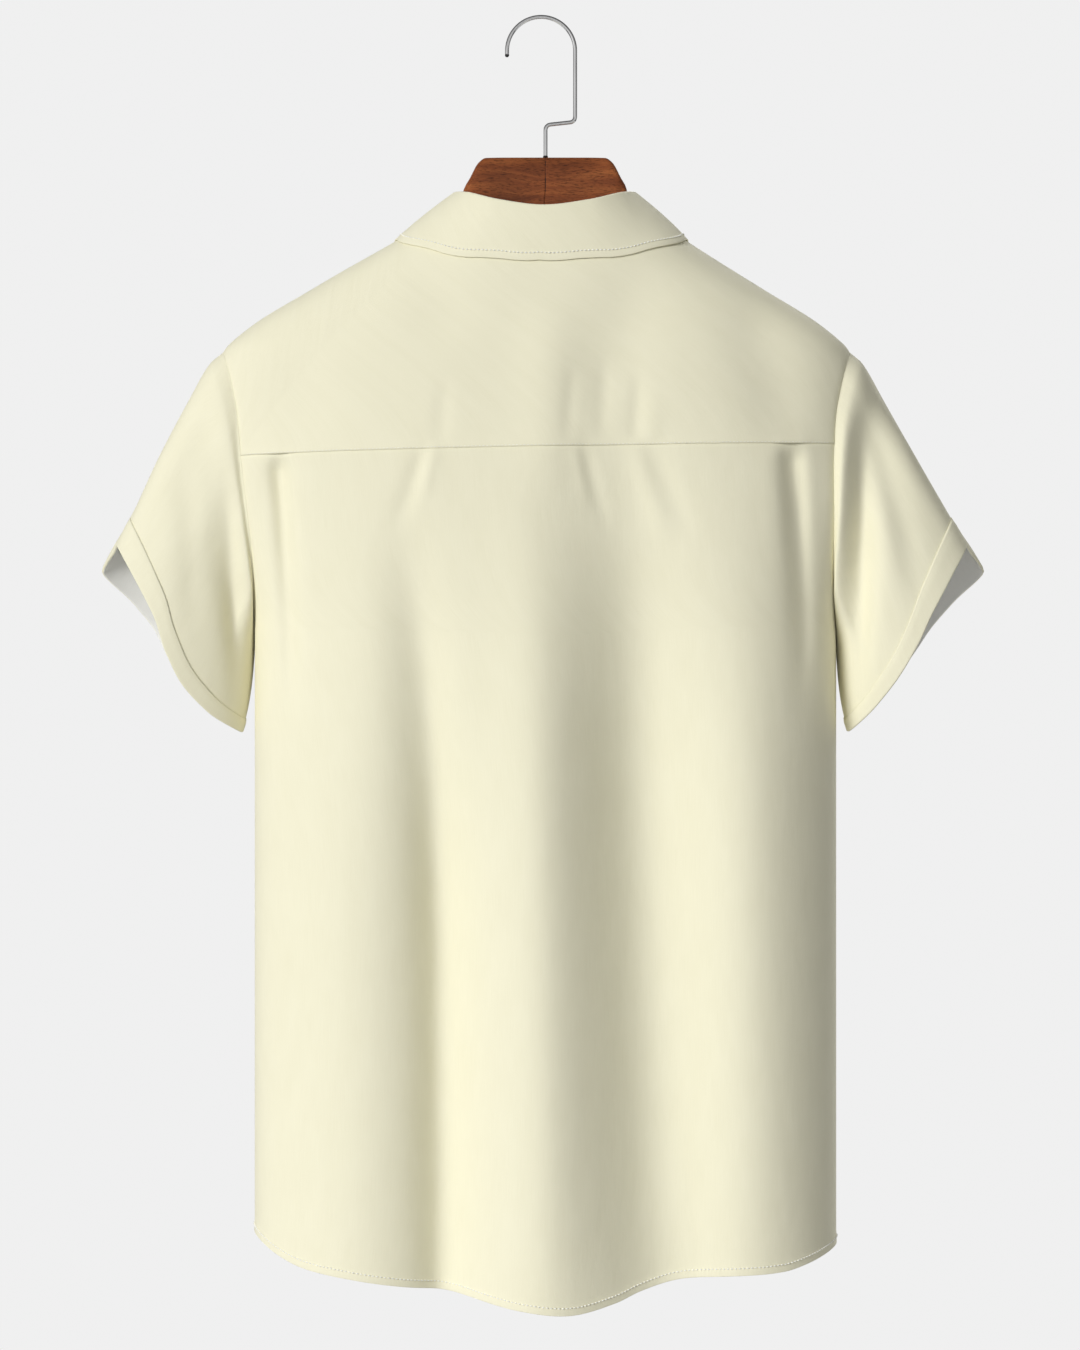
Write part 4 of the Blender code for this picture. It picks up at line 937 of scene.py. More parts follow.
def stitch_mesh(name, lines, pitch, length, radius, rise):
    """Short threads along lines (path, normals). Each one dips into the cloth at both its ends."""
    sides, stops = STITCH_SIDES, np.array([stop.at for stop in STITCH])
    sunk, full = (np.array([getattr(stop, key) for stop in STITCH]) for key in ("rise", "width"))
    turns = ring_turns(sides)
    found = []
    for path, out in lines:
        run = runs_down(path)
        count = max(int(run[-1] / pitch + 0.01), 1)
        spare = run[-1] - (count - 1) * pitch - length
        at = spare / 2 + np.arange(count)[:, None] * pitch + length * stops
        centre = np.stack([np.interp(at, run, path[:, axis]) for axis in range(3)], axis=-1)
        up = unit(np.stack([np.interp(at, run, out[:, axis]) for axis in range(3)], axis=-1))
        centre = centre + up * (sunk * rise)[:, None]
        ahead = unit(centre[:, -1:] - centre[:, :1])
        aside = unit(np.cross(up, ahead))
        over = np.cross(ahead, aside)
        thick = radius * full[:, None, None]
        round_ = np.cos(turns)[:, None] * aside[:, :, None] + np.sin(turns)[:, None] * over[:, :, None]
        found.append(centre[:, :, None] + thick * round_)
    points = np.concatenate(found)
    count, rings = len(points), len(stops)
    ring = np.arange(rings * sides).reshape(rings, sides)
    quads = stacked(ring[:-1], np.roll(ring, -1, 1)[:-1], np.roll(ring, -1, 1)[1:], ring[1:])
    quads = quads.reshape(-1, 4)[:, ::-1].tolist()
    caps = [ring[0].tolist(), ring[-1][::-1].tolist()]
    faces = [[corner + n * rings * sides for corner in face] for n in range(count) for face in quads + caps]
    mesh = bpy.data.meshes.new(name)
    mesh.from_pydata(points.reshape(-1, 3).tolist(), [], faces)
    mesh.shade_smooth()
    return mesh


def stitches(name, lines, pitch, length, radius, rise):
    lines = [(hang(path), out) for path, out in lines]
    return add_piece(name, stitch_mesh(name, lines, pitch, length, radius, rise), ("thread",))


def side_edges(seam_angles, hem_z, side):
    """A panel's outer edge, down the armhole and the side seam."""
    x, z = armhole(seam_angles)
    lower = np.linspace(UNDERARM_Z, hem_z(side * HEM_HALF_WIDTH), SIDE_ROWS + 1)
    lower = crowd_rows(lower, near_last=HEM_EXTRA_ROWS)[1:]
    return np.concatenate([x, half_width(lower)]), np.concatenate([z, lower])


def seam_dips(points, edges, armhole_rows):
    """Grooves a panel along its armhole, and pulls its side seam in a little."""
    for edge in edges:
        edge_points = points[:armhole_rows, edge][:, None]
        apart = lengths(points[:armhole_rows] - edge_points)
        points[:armhole_rows, :, 1] += groove(edge_points[..., 1], apart)
        points[armhole_rows:, edge, 0] -= np.sign(points[armhole_rows:, edge, 0]) * GROOVE / 2
    return points


def build_back():
    """Below the yoke: its rows follow the armhole's points, then the side seam down to the hem."""
    across = spread(BACK_COLUMNS, BACK_CROWDS)
    sides = {side: side_edges(back_angles(side), back_hem_z, side) for side in (-1, 1)}
    share = {side: (z - z[0]) / np.ptp(z) for side, (_, z) in sides.items()}
    points = np.zeros((len(share[1]), len(across), 3))
    for col, at in enumerate(across):
        x = at * sides[1 if at > 0 else -1][0]
        down = -blend(share[-1], share[1], (1 + at) / 2)
        z = blend(yoke_seam_z(x[0]), back_hem_z(x[-1]), down)
        points[:, col] = stacked(x, body_y(x, z, True, pleats=True), z)
    x, z = points[:2, :, 0], points[:2, :, 2]
    plain = stacked(x, body_y(x, z, True), z)
    points = hem_band(seam_dips(points, (0, -1), UNDER_STEPS + 1))
    hem = inset(points, HEM_HEIGHT)
    points = tucked(turned_under(points, HEM_HEIGHT), WALL, out=normals_of(plain)[0], up=plain[0] - plain[1])
    cloth("back", points)
    stitches("hem_stitches_back", [hem], *TOPSTITCH)


def neckline(turn):
    """The neck's edge on the yoke: 0 is the middle of the back, 90 degrees the shoulder seam."""
    turn = np.radians(turn)
    return NECK_WIDTH * np.sin(turn), SHOULDER_SEAM + NECK_REACH * np.cos(turn)


def build_yoke():
    """A strip round the neck, from one shoulder seam over the back to the other."""
    ridge_turn = float(np.degrees(np.arccos(-SHOULDER_SEAM / NECK_REACH)))
    inner, outer = [], []
    for side in (-1, 1):
        angles = yoke_angles(side)
        x, z = armhole(np.abs(angles))
        over = np.sqrt(np.maximum(ridge_z(x) - z, 0)) * np.where(angles >= 0, 1, -1)
        behind = np.linspace(YOKE_CORNER_TURN, ridge_turn, YOKE_BACK_STEPS + 1)
        before = np.linspace(ridge_turn, 90, YOKE_FRONT_STEPS + 1)
        neck_x, neck_over = neckline(np.concatenate([behind, before[1:]]))
        outer.append(stacked(side * x, over))
        inner.append(stacked(side * neck_x, neck_over))
    across = np.linspace(-1, 1, YOKE_SEAM_COLUMNS + 1)[1:-1]
    x = np.where(across < 0, -across * outer[0][0, 0], across * outer[1][0, 0])
    over = np.sqrt(ridge_z(x) - yoke_seam_z(x))
    neck_x, neck_over = neckline(np.abs(across) * YOKE_CORNER_TURN)
    outer = np.concatenate([outer[0][::-1], stacked(x, over), outer[1]])
    neck = stacked(np.sign(across) * neck_x, neck_over)
    inner = np.concatenate([inner[0][::-1], neck, inner[1]])
    shares = crowd_rows(np.linspace(0, 1, YOKE_ROWS + 1), near_last=YOKE_EXTRA_ROWS)
    places = np.array([blend(inner, outer, t) for t in shares])
    points = over_shoulder(places[..., 0], places[..., 1])
    apart = lengths(points - points[-1:])
    armhole_columns = YOKE_BACK_STEPS + YOKE_FRONT_STEPS + 1
    column_number = np.arange(points.shape[1])
    from_end = np.minimum(column_number, points.shape[1] - 1 - column_number)
    lifted = ease((from_end - armhole_columns + 3) / 4)
    lift = YOKE_LIFT * lifted * (1 - ease(apart / YOKE_LIFT_REACH - 0.5))
    normals = normals_of(points)
    points = points + normals * lift[..., None]
    points[..., 1] += (1 - lifted) * groove(points[-1:, :, 1], apart)
    seam = slice(armhole_columns, points.shape[1] - armhole_columns)
    path, out = inset(points, YOKE_STITCH_IN)
    cloth("yoke", points)
    stitches("yoke_stitches", [(path[seam], out[seam])], *YOKE_STITCH)


def build_front(word, side):
    """From the shoulder seam to the hem, and from the front edge to the armhole and the side seam."""
    side_x, side_z = side_edges(front_angles(), front_hem_z, side)
    down = (side_z[0] - side_z) / (side_z[0] - side_z[-1])
    edge_z = blend(shoulder_seam_z(NECK_WIDTH), float(front_hem_z(side * -LAP)), down)
    edge_x = np.where(down > 0, front_edge_x(edge_z), NECK_WIDTH)
    share = (spread(FRONT_COLUMNS, FRONT_CROWDS) + 1) / 2
    points = np.zeros((len(side_z), len(share), 3))
    for col, t in enumerate(share):
        x = blend(edge_x, side_x, t)
        z = blend(edge_z, side_z, t)
        z = z + (1 - down) * (shoulder_seam_z(x[0]) - z[0]) + down * (front_hem_z(side * x[-1]) - z[-1])
        points[:, col] = front_face(side * x, z, side)
    if side > 0:
        points = points[:, ::-1]
    points = hem_band(seam_dips(points, (0,) if side > 0 else (-1,), FRONT_STEPS + 1))
    lines, out = [inset(points, HEM_HEIGHT)], normals_of(points)
    if side > 0:
        edge_path, edge_out = inset(points.transpose(1, 0, 2), EDGE_STITCH)
        below = edge_path[:, 2] < LEFT_LAPEL_TIP.z - LAPEL_STITCH_CLEAR
        lines.append((edge_path[below], -edge_out[below]))
        plain = points.shape[1]
        points = turned_under(points.transpose(1, 0, 2), FACING, out.transpose(1, 0, 2)).transpose(1, 0, 2)
        out = np.concatenate([out, np.repeat(out[:, -1:], points.shape[1] - plain, axis=1)], axis=1)
    top = tucked(points, WALL, out=out[0])[:3]
    points = turned_under(points, HEM_HEIGHT, out)
    cloth(f"front_{word}", np.concatenate([top, points]))
    stitches(f"hem_stitches_front_{word}", lines, *TOPSTITCH)


def bent_path(spots, counts, bulge):
    """Points on the straight runs between spots. The last run bows outwards by the bulge."""
    found = [np.array(spots[:1], float)]
    for number, count in enumerate(counts):
        start, end = np.array(spots[number], float), np.array(spots[number + 1], float)
        t = np.linspace(0, 1, count + 1)[1:, None]
        run = end - start
        out = np.array([-run[1], run[0]]) / np.linalg.norm(run)
        bow = bulge if number == len(counts) - 1 else 0
        found.append(start + run * t + out * bow * 4 * t * (1 - t))
    return np.concatenate(found)


def build_lapel(word, side, foot_z, tip):
    """Its facing starts inside the front, rolls round the front's edge and then lies on the front."""
    outer = bent_path((LAPEL_NOTCH, LAPEL_POINT, tip), LAPEL_EDGE_STEPS, LAPEL_BELLY)
    roll_z = np.linspace(LAPEL_TOP_Z, foot_z, len(outer))
    roll = stacked(front_edge_x(roll_z) - LAPEL_CLEAR, roll_z)
    run = outer - roll
    length = np.linalg.norm(run, axis=1)[:, None]
    turns = np.radians(np.linspace(*LAPEL_ROLL_TURNS, LAPEL_ROLL_STEPS))
    middle = LAPEL_RISE - LAPEL_ROLL
    inside = np.linspace(LAPEL_INSIDE, 0, 4)[:-1]
    across = np.concatenate([inside, LAPEL_ROLL * np.cos(turns)]) + 0 * length
    rise = np.concatenate([0 * inside + middle - LAPEL_ROLL, middle + LAPEL_ROLL * np.sin(turns)])
    flat = np.arange(1, LAPEL_FLAT_STEPS + 1) / LAPEL_FLAT_STEPS
    across = np.concatenate([across, length * flat], axis=1)
    rise = np.concatenate([rise, 0 * flat + LAPEL_RISE])
    at = roll[:, None] + (run / length)[:, None] * across[..., None]
    x, z = side * at[..., 0], at[..., 1]
    points = front_face(x, z, side) + rise[:, None] * front_normal(x, z, side)
    across_grid = points.transpose(1, 0, 2)
    path, out = inset(across_grid, EDGE_STITCH)
    kept = slice(3, None)
    if side > 0:
        points = points[:, ::-1]
    cloth(f"lapel_{word}", points, thickness=LEAF, edge=LEAF_EDGE, inside="face")
    sign = np.sign((out * front_normal(path[:, 0], path[:, 2], side)).sum(axis=-1, keepdims=True))
    stitches(f"lapel_stitches_{word}", [(path[kept], (out * sign)[kept])], *TOPSTITCH)


def collar_column(value, odd=False):
    """A curve over the whole collar, from its right front end (-1) to its left one (1)."""
    rows = [row for row in COLLAR if row.at > 0]
    keys = [-row.at for row in rows[::-1]] + [row.at for row in COLLAR]
    mirrored = [(-1 if odd else 1) * getattr(row, value) for row in rows[::-1]]
    return smooth_curve(keys, mirrored + [getattr(row, value) for row in COLLAR])


def neck_edge(at):
    """The collar's sewn edge, at the neckline and then down the front's edge."""
    side, at = (1 if at >= 0 else -1), abs(at)
    if at <= COLLAR_SHOULDER:
        x, over = neckline(90 * at / COLLAR_SHOULDER)
        return over_shoulder(side * x, over)
    z = blend(shoulder_seam_z(NECK_WIDTH), COLLAR_ENDS_Z, (at - COLLAR_SHOULDER) / (1 - COLLAR_SHOULDER))
    x = min(float(front_edge_x(z)), NECK_WIDTH)
    return front_face(np.float64(side * x), np.float64(z), side)


def build_collar():
    """One folded leaf: the stand rises inside the neck, rolls over and falls onto the yoke."""
    stations = np.linspace(-1, 1, COLLAR_STATIONS)
    names = (("fold_x", True), ("fold_y", False), ("fold_z", False))
    fold = np.stack([collar_column(name, odd)(stations) for name, odd in names], axis=-1)
    edge_x, edge_over = collar_column("edge_x", odd=True)(stations), collar_column("edge_over")(stations)
    step = 2 * PROBE
    edge = over_shoulder(edge_x, edge_over)
    out = np.cross(
        over_shoulder(edge_x + step, edge_over) - over_shoulder(edge_x - step, edge_over),
        over_shoulder(edge_x, edge_over - step) - over_shoulder(edge_x, edge_over + step),
    )
    edge = edge - COLLAR_RISE * unit(out)
    tangent = np.gradient(fold, axis=0)
    stand = np.linspace(0, 1, COLLAR_STAND_ROWS + 1)[:-1]
    fall = np.linspace(0, 1, COLLAR_FALL_ROWS + 1)[1:]
    points = np.zeros((2 + len(stand) + COLLAR_ROLL_ROWS + len(fall), len(stations), 3))
    for col, at in enumerate(stations):
        along = unit(tangent[col])
        base = neck_edge(at)
        radial = unit(np.array([base[0], base[1], 0]))
        base = base - LEAF * radial + np.array([0, 0, STAND_GAP])
        sewn = [base - radial * STAND_BEHIND - np.array([0, 0, drop]) for drop in STAND_DROPS]
        down_in, down_out = base - fold[col], edge[col] - fold[col]
        down_in = unit(down_in - along * np.dot(down_in, along))
        down_out = unit(down_out - along * np.dot(down_out, along))
        axis = unit(down_in + down_out)
        cross = unit(np.cross(along, axis))
        cross = cross * np.sign(np.dot(cross, down_out - down_in))
        centre = fold[col] + axis * COLLAR_ROLL
        first = -np.arctan2(np.dot(down_in, axis), -np.dot(down_in, cross))
        last = np.arctan2(np.dot(down_out, axis), np.dot(down_out, cross))
        turns = np.linspace(first, last, COLLAR_ROLL_ROWS)
        arc = [centre + COLLAR_ROLL * (-axis * cos(a) + cross * sin(a)) for a in turns]
        rising = [blend(base, arc[0], t) for t in stand]
        lift = unit(np.cross(along, arc[-1] - edge[col]))
        lift = lift * np.sign(np.dot(lift, cross))
        falling = [blend(arc[-1], edge[col], t) + lift * COLLAR_BULGE * 4 * t * (1 - t) for t in fall]
        points[:, col] = sewn + rising + arc + falling
    cloth("collar", points, thickness=LEAF, edge=LEAF_EDGE, inside="face")
    falling = points[-COLLAR_FALL_ROWS - 1 :]
    path, out = inset(falling, EDGE_STITCH)
    lines = [(path[2:-2], out[2:-2])]
    for end in (falling[:, ::-1], falling):
        end_path, end_out = inset(end.transpose(1, 0, 2), EDGE_STITCH)
        sign = np.sign((end_out * normals_of(falling)[:, 0]).sum(axis=-1, keepdims=True))
        lines.append((end_path[3:-3], (end_out * sign)[3:-3]))
    stitches("collar_stitches", lines, *TOPSTITCH)


def direction(angle):
    return np.array([cos(angle), sin(angle)])


def sleeve_ring_angles(side):
    """Round the armhole once, from the shoulder's end down the front and up the back."""
    front = np.abs(yoke_angles(side)[YOKE_BACK_STEPS:])
    down = np.concatenate([front, front_angles()[1:]])
    up = np.concatenate([back_angles(side)[::-1], yoke_angles(side)[1:YOKE_BACK_STEPS]])
    return np.concatenate([down, 360 - up[1:]]), len(down) - 1


def sleeve_points(side, ts):
    """Rings of points from the armhole (t = 0) to the turned-up end (t = 1)."""
    around, bottom = sleeve_ring_angles(side)
    is_front = np.arange(len(around)) <= bottom
    x, z = armhole(np.where(around <= 180, around, 360 - around))
    y = np.where(is_front, body_y(side * x, z, False), body_y(side * x, z, True))
    y[[0, bottom]] = 0
    start = stacked(x, y, z)
    turn = np.radians(around)
    top, low = np.array(CUFF_TOP), np.array(CUFF_BOTTOM)
    upward, outward = (top - low) / 2, unit(np.array([top[1] - low[1], low[0] - top[0]]))
    end_xz = (top + low) / 2 + np.cos(turn)[:, None] * upward
    past = front_reach(around) + CUFF_BOW_DEPTH[side] * cuff_bow((1 - np.cos(turn)) / 2)
    end_xz = end_xz + past[:, None] * outward
    end_y = -CUFF_HALF_DEPTH * np.sign(np.sin(turn)) * np.abs(np.sin(turn)) ** CUFF_FULLNESS
    end = stacked(end_xz[:, 0], end_y, end_xz[:, 1])
    high = ((1 + np.cos(turn)) / 2)[:, None]
    runs = []
    for length, angle in (0, 1), (2, 3):
        top_run = SLEEVE_TOP_RUN[length] * direction(SLEEVE_TOP_RUN[angle])
        low_run = SLEEVE_BOTTOM_RUN[length] * direction(SLEEVE_BOTTOM_RUN[angle])
        run = high * top_run + (1 - high) * low_run
        runs.append(stacked(run[:, 0], 0 * turn, run[:, 1]))
    rings = np.array([hermite(start, runs[0], end, runs[1], t) for t in ts])
    out = normals_of(rings, closed=True)
    plain = ease(np.abs(around - 180) / UNDERARM_PLAIN)
    pushed = 0 * rings[..., 0]
    for crease in SLEEVE_CREASES:
        if crease.side != side:
            continue
        apart = (around - (360 - crease.around) + 180) % 360 - 180
        shape = plain * np.exp(-0.5 * (apart / crease.width_around) ** 2)
        along = np.exp(-0.5 * ((ts - crease.along) / crease.width_along) ** 2)
        pushed += crease.depth * (along * ease(ts / ARMHOLE_PLAIN))[:, None] * shape
    runs_in = run_depth(SLEEVE_RUNS, side * rings[..., 0], rings[..., 2])
    pushed += runs_in * (~is_front * plain) * ease(ts / SLEEVE_RUNS_OPEN)[:, None]
    rings = rings - pushed[..., None] * out
    apart = lengths(rings - rings[:1])
    rings[..., 1] += groove(start[:, 1], apart)
    rings[..., 0] *= side
    return rings[:, ::-1] if side < 0 else rings


def build_sleeve(word, side):
    """A tube, and round its end the band that is turned up: outer layer, fold and inner layer."""
    plain = np.linspace(SLEEVE_STARTS[-1], 1 - CUFF_BAND, SLEEVE_RINGS + 1)[1:]
    band_ts = np.linspace(1 - CUFF_BAND, CUFF_FOLD, BAND_RINGS + 1)[1:]
    ts = np.concatenate([SLEEVE_STARTS, plain, band_ts])
    rings = sleeve_points(side, ts)
    out = normals_of(rings, closed=True)
    cloth(f"sleeve_{word}", tucked(rings[:-2], WALL, True), closed=True)
    outer = slice(len(ts) - BAND_RINGS - 1, None)
    raised = blend(CUFF_EDGE_LIFT, CUFF_LIFT, ease(np.arange(BAND_RINGS + 1) / 4))
    lifted = rings[outer] + raised[:, None, None] * out[outer]
    middle, radius = (CUFF_LIFT - CUFF_INSIDE) / 2, (CUFF_LIFT + CUFF_INSIDE) / 2
    ahead = unit(rings[-1] - rings[-3])
    turns = np.linspace(0, pi, 9)[1:-1]
    folds = [rings[-1] + out[-1] * (middle + radius * cos(a)) + ahead * radius * sin(a) for a in turns]
    run = lengths(rings - rings[-1:]).mean(axis=1)
    inner = (rings - CUFF_INSIDE * out)[::-1][(run < CUFF_TURN_IN)[::-1]]
    points = np.concatenate([lifted, folds, inner])
    reverse_from = len(lifted) + len(folds) - 2
    cloth(f"cuff_{word}", points, closed=True, thickness=CUFF_WALL, reverse_from=reverse_from)


def button_mesh():
    """A turned button with a raised rim and four holes."""
    turns = ring_turns(BUTTON_SIDES)
    radius, height = np.array([(row.radius, row.height) for row in BUTTON_ROUNDED]).T[..., None]
    points = stacked(radius * np.cos(turns), radius * np.sin(turns), height + 0 * turns)
    shape = bmesh.new()
    shape.from_mesh(grid_mesh("button_turned", points, closed=True))
    bmesh.ops.remove_doubles(shape, verts=shape.verts, dist=MERGE)
    bmesh.ops.recalc_face_normals(shape, faces=shape.faces)
    cutter = bmesh.new()
    for across, up in (-1, -1), (-1, 1), (1, -1), (1, 1):
        made = bmesh.ops.create_cone(
            cutter, cap_ends=True, segments=20, radius1=BUTTON_HOLE, radius2=BUTTON_HOLE, depth=DRILL_DEPTH
        )
        place = (across * HOLE_APART, up * HOLE_APART, DRILL_RISE)
        bmesh.ops.translate(cutter, verts=made["verts"], vec=place)
    blank = linked("button_blank", finished_mesh("button_blank", shape))
    drill = linked("button_holes", finished_mesh("button_holes", cutter))
    holes = blank.modifiers.new("holes", "BOOLEAN")
    holes.operation, holes.object, holes.solver = "DIFFERENCE", drill, "EXACT"
    softened = blank.modifiers.new("softened", "BEVEL")
    softened.width, softened.segments, softened.angle_limit = BUTTON_SOFTENED, SOFTENED_STEPS, radians(40)
    finished = bpy.data.meshes.new_from_object(blank.evaluated_get(bpy.context.evaluated_depsgraph_get()))
    for helper in (blank, drill):
        bpy.data.objects.remove(helper)
    finished.shade_smooth()
    return finished


def build_buttons():
    """Each is sewn on with crossing threads, over its bound buttonhole."""
    finished = button_mesh()
    sewn, bound = [], []
    across = np.array([1.0, 0, 0])
    for number in range(BUTTONS):
        z = np.float64(BUTTON_TOP_Z - BUTTON_PITCH * number)
        face, out = front_face(np.float64(0), z, 1), front_normal(np.float64(0), z, 1)
        node_name = f"button_{number + 1}"
        made = add_piece(f"{node_name}_turned", finished.copy(), ("pearl",), (node_name,))
        made.rotation_euler = (np.arctan2(-out[1], out[2]), 0, 0)
        made.location = face + out * BUTTON_GAP + np.array([lean(z) + MID_X, 0, 0])
        up = np.cross(out, across)
        centre = face + out * (BUTTON_GAP + BUTTON_WELL)
        for up_by in (-1, 1):
            reach = HOLE_APART + HOLE_PAST
            path = np.array([centre + up * up_by * HOLE_APART + across * s * reach for s in (-1, 0, 1)])
            for beside in (-1, 1):
                sewn.append((path + up * beside * SEWN[2], np.array([out] * 3)))
        for step in np.arange(-BUTTONHOLE / 2, BUTTONHOLE / 2 + MERGE, BOUND_PITCH):
            at = front_face(np.float64(0), z + step, 1)
            for first, last in ((-BOUND_FAR, -BOUND_NEAR), (BOUND_NEAR, BOUND_FAR)):
                bound.append((np.array([at + across * first, at + across * last]), np.array([out] * 2)))
    stitches("button_threads", sewn, *SEWN)
    stitches("buttonholes", bound, *BOUND)


def boxy_ring(x, top, bottom, worn, half_depth, roundness):
    """A rounded box's outline across the hanger, worn down all round by a little."""
    turns = ring_turns(WOOD_SIDES)
    c, s = np.cos(turns), np.sin(turns)
    y = (half_depth - worn) * np.sign(s) * np.abs(s) ** (2 / roundness)
    z = (top + bottom) / 2 + ((top - bottom) / 2 - worn) * np.sign(c) * np.abs(c) ** (2 / roundness)
    return stacked(x + 0 * turns, y, z)


def build_wood(word, side):
    """One half of the hanger: rounded cross-sections from the glued joint to the arm's end."""
    last = WOOD[-1].x
    block = np.linspace(WOOD_JOINT_X[-1], WOOD_BLOCK_X, WOOD_BLOCK_ROWS)
    arm = np.linspace(WOOD_BLOCK_X, last, WOOD_ARM_ROWS)[1:]
    rings = []
    for x in np.concatenate([WOOD_JOINT_X[:-1], block, arm]):
        top = float(wood_top(x))
        if x > WOOD_ARM_X:
            top = min(top, ridge_z(x) - WALL - WOOD_GAP)
        roundness = blend(WOOD_BOX_ROUNDNESS, WOOD_ROUNDNESS, ease((x - WOOD_ROUNDS_X) / WOOD_ROUNDS_OVER))
        worn = JOINT_DEPTH * (1 - ease(x / JOINT_REACH))
        low, deep = float(wood_bottom(x)), float(wood_half_depth(x))
        rings.append(boxy_ring(side * x, top, low, worn, deep, roundness))
    rings.insert(0, blend(rings[0].mean(axis=0), rings[0], CLOSED))
    end = rings[-1]
    for share in (0.8, 0.5, CLOSED):
        ring = blend(end.mean(axis=0), end, share)
        ring[:, 0] = side * (last + WOOD_END * (1 - share**2))
        rings.append(ring)
    points = np.array(rings)
    points = hang(points[:, ::-1] if side > 0 else points)
    points[:2, :, 0] = MID_X + side * JOINT_GAP
    name = f"hanger_{word}_varnished"
    add_piece(name, grid_mesh(name, points, closed=True), ("wood",), (f"hanger_{word}",))


def build_glue():
    """The dark line of glue in the groove between the hanger's halves."""
    sizes = float(wood_top(0)), float(wood_bottom(0)), GLUE_DEPTH, float(wood_half_depth(0))
    points = np.array([boxy_ring(MID_X + x, *sizes, WOOD_BOX_ROUNDNESS) for x in (GLUE_HALF, -GLUE_HALF)])
    add_piece("hanger_glue", grid_mesh("hanger_glue", points, closed=True), ("glue",))


def tube_rings(route, radius, sides=24):
    """Rings round a path that lies in the plane y = 0."""
    route = np.array(route, float)
    ahead = unit(np.gradient(route, axis=0))
    beside = stacked(-ahead[:, 1], ahead[:, 0])
    turns = ring_turns(sides)
    points = np.zeros((len(route), sides, 3))
    points[..., 0] = route[:, :1] + radius * beside[:, :1] * np.cos(turns)
    points[..., 2] = route[:, 1:] + radius * beside[:, 1:] * np.cos(turns)
    points[..., 1] = radius * np.sin(turns)
    return points


def build_hook():
    """Bent wire: a short straight tip, the round hook, a straight bar, a jog to the middle, a post."""
    centre_z = WIRE - HOOK_RADIUS
    route = [(HOOK_RADIUS, centre_z - HOOK_TIP_DROP), (HOOK_RADIUS, centre_z - HOOK_TIP_DROP / 2)]
    for angle in np.linspace(0, pi, HOOK_STEPS + 1):
        route.append((HOOK_RADIUS * cos(angle), centre_z + HOOK_RADIUS * sin(angle)))
    route += [(-HOOK_RADIUS, z) for z in np.linspace(centre_z - HOOK_BAR_FROM, HOOK_BAR_Z, HOOK_BAR_ROWS)]
    corners = (
        (-HOOK_RADIUS, HOOK_BAR_Z),
        (-HOOK_RADIUS, HOOK_JOG_START_Z),
        (MID_X, HOOK_JOG_END_Z),
        (MID_X, float(wood_top(0)) - HOOK_SUNK),
    )
    for before, corner, after in zip(corners, corners[1:], corners[2:]):
        before, corner, after = np.array(before), np.array(corner), np.array(after)
        start = corner + unit(before - corner) * HOOK_BEND
        end = corner + unit(after - corner) * HOOK_BEND
        for t in np.linspace(0, 1, BEND_STEPS):
            route.append(tuple(blend(blend(start, corner, t), blend(corner, end, t), t)))
    route += [(MID_X, z) for z in (*HOOK_POST_Z, corners[-1][1])]
    points = tube_rings(route, WIRE)
    first = points[0].mean(axis=0)
    points = np.concatenate([blend(first, points[:1], HOOK_TIP_CLOSED), points])
    mesh = grid_mesh("hanger_hook_plated", points[:, ::-1], closed=True)
    add_piece("hanger_hook_plated", mesh, ("chrome",), ("hanger_hook",))
    for name, (x, z), radius, flat in (
        ("hook_tip", (HOOK_RADIUS, centre_z - HOOK_TIP_DROP), TIP_RADIUS, 1.0),
        ("hook_ferrule", (MID_X, float(wood_top(0)) + FERRULE_RISE), FERRULE_RADIUS, FERRULE_FLAT),
    ):
        shape = bmesh.new()
        bmesh.ops.create_uvsphere(shape, u_segments=32, v_segments=20, radius=radius)
        bmesh.ops.scale(shape, vec=(1, 1, flat), verts=shape.verts)
        ball = finished_mesh(name, shape)
        ball.shade_smooth()
        made = add_piece(name, ball, ("rubber",))
        made.location = (x, 0, z)


# ---- Setting


def add_light(name, azimuth, elevation, strength, angle):
    """A distant light. Its azimuth runs from +Y towards +X."""
    light = bpy.data.lights.new(name, "SUN")
    light.energy, light.angle = strength, radians(angle)
    made = linked(name, light)
    a, e = radians(azimuth), radians(elevation)
    towards = Vector((sin(a) * cos(e), cos(a) * cos(e), sin(e)))
    made.rotation_euler = towards.to_track_quat("Z", "Y").to_euler()
    made.visible_glossy = False


def build_camera():
    camera = bpy.data.cameras.new("camera")
    camera.lens, camera.sensor_width = CAMERA_LENS, CAMERA_SENSOR
    camera.clip_start, camera.clip_end = CAMERA_CLIP
    viewer = linked("camera", camera)
    viewer.location = CAMERA_PLACE
    viewer.rotation_euler = (radians(90), 0, pi)
    bpy.context.scene.camera = viewer


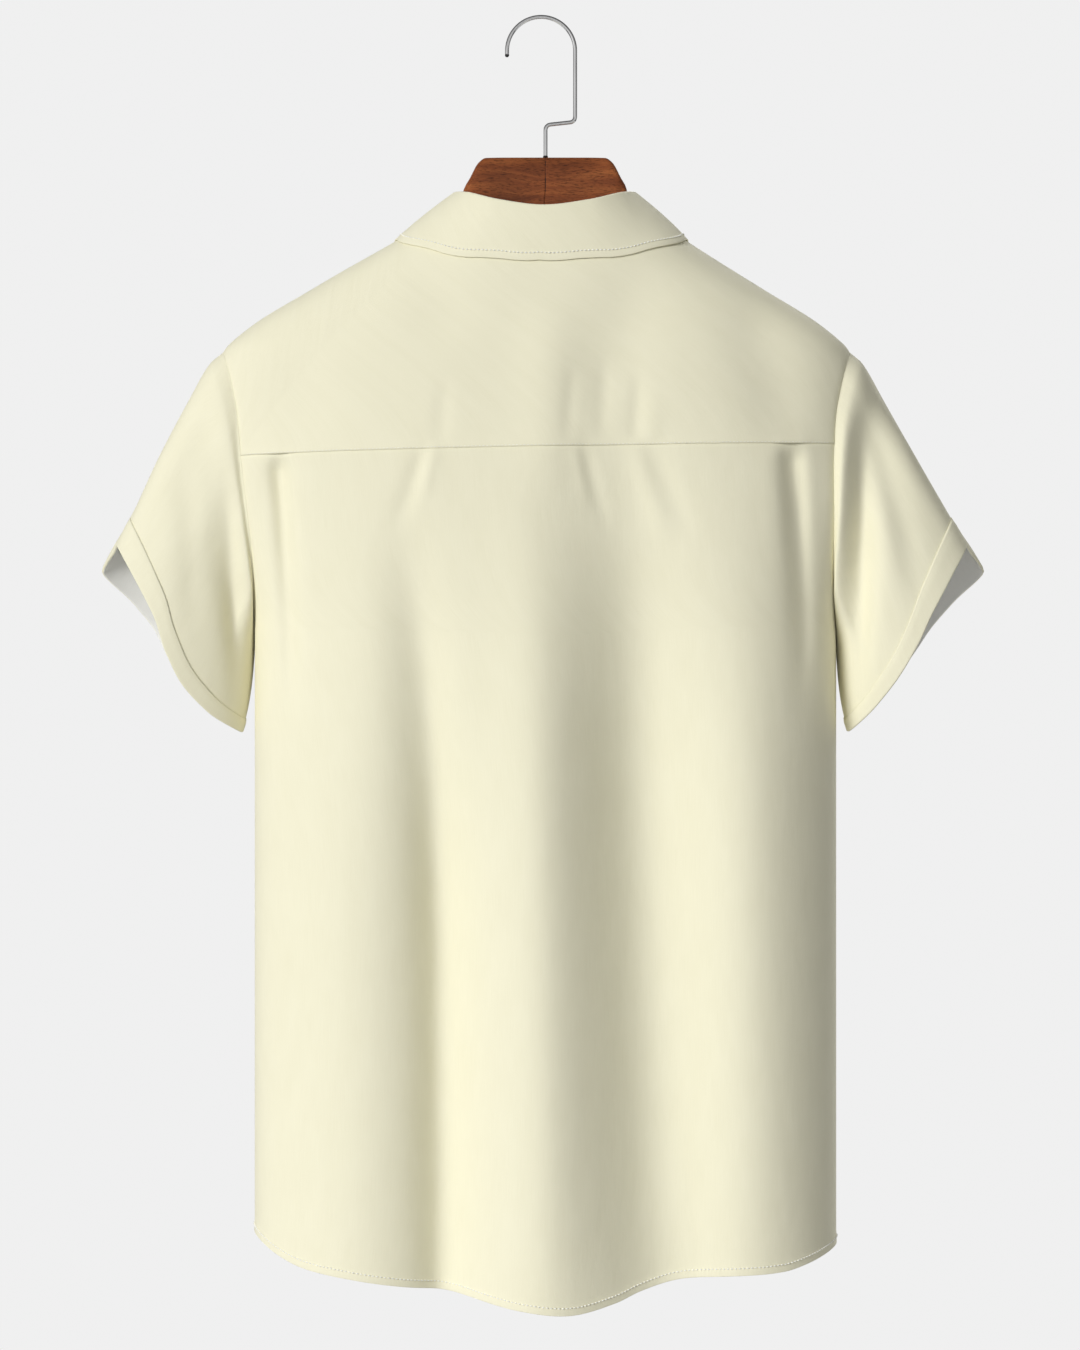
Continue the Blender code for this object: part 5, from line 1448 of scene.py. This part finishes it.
def build_room():
    """An even fill of light, the backdrop's grey, and what polished pieces reflect."""
    world = bpy.data.worlds.new("studio")
    world.use_nodes = True
    bpy.context.scene.world = world
    tree = world.node_tree
    path = node(tree, "ShaderNodeLightPath").outputs
    seen = node(tree, "ShaderNodeMix", {0: path["Is Camera Ray"], 2: FILL, 3: BACKDROP}).outputs[0]
    towards = node(tree, "ShaderNodeTexCoord").outputs["Generated"]
    ways = node(tree, "ShaderNodeSeparateXYZ", {0: towards}).outputs
    room = 1.0
    for way, stops in (
        (between(tree, ways["Y"], 0.0, 1.0, -1.0, 1.0), ROOM),
        (between(tree, ways["X"], 0.0, 1.0, -1.0, 1.0), ROOM_SIDE),
        (node(tree, "ShaderNodeMath", {0: ways["Z"]}, operation="ABSOLUTE").outputs[0], ROOM_HEIGHT),
    ):
        greys = [(place, (grey,) * 3) for place, grey in stops]
        room = calc(tree, "MULTIPLY", ramp(tree, way, *greys), room)
    glossy = node(tree, "ShaderNodeMix", {0: path["Is Glossy Ray"], 2: seen, 3: room}).outputs[0]
    shader = tree.nodes["Background"]
    shader.inputs["Color"].default_value = (1, 1, 1, 1)
    plug(tree, shader, Strength=glossy)


def build_floor():
    """A floor that the camera sees as backdrop."""
    shape = bmesh.new()
    bmesh.ops.create_circle(shape, cap_ends=True, segments=96, radius=FLOOR_RADIUS)
    floor = linked("floor", finished_mesh("floor", shape))
    floor.location = (0, 0, FLOOR_Z)
    paper = bpy.data.materials.new("paper")
    paper.use_nodes = True
    tree = paper.node_tree
    tree.nodes.remove(tree.nodes["Principled BSDF"])
    seen = node(tree, "ShaderNodeLightPath").outputs["Is Camera Ray"]
    plain = node(tree, "ShaderNodeBsdfDiffuse", {"Color": (0.7, 0.7, 0.7, 1)}).outputs[0]
    flat = node(tree, "ShaderNodeEmission", {"Color": (1, 1, 1, 1), "Strength": BACKDROP}).outputs[0]
    mixed = node(tree, "ShaderNodeMixShader", {0: seen, 1: plain, 2: flat}).outputs[0]
    plug(tree, tree.nodes["Material Output"], Surface=mixed)
    floor.data.materials.append(paper)


def build_setting():
    build_camera()
    build_room()
    for light in LIGHTS:
        add_light(*light)
    build_floor()
    scene = bpy.context.scene
    scene.view_settings.view_transform = "Standard"
    scene.view_settings.look = "None"
    scene.render.film_transparent = False


for material_name, make in (
    ("face", lambda: fabric("viscose_face", CREAM, CREAM_SHADE, 0.55)),
    ("reverse", lambda: fabric("viscose_reverse", REVERSE, REVERSE_DARK, 0.45)),
    ("thread", thread_material),
    ("pearl", pearl_material),
    ("wood", wood_material),
    ("chrome", chrome_material),
    ("rubber", rubber_material),
    ("glue", glue_material),
):
    LOOKS[material_name] = make()
build_back()
build_yoke()
build_front("left", 1)
build_front("right", -1)
build_lapel("left", 1, LEFT_LAPEL_FOOT_Z, LEFT_LAPEL_TIP)
build_lapel("right", -1, RIGHT_LAPEL_FOOT_Z, RIGHT_LAPEL_TIP)
build_collar()
build_sleeve("left", 1)
build_sleeve("right", -1)
build_buttons()
build_wood("left", 1)
build_wood("right", -1)
build_glue()
build_hook()
build_setting()
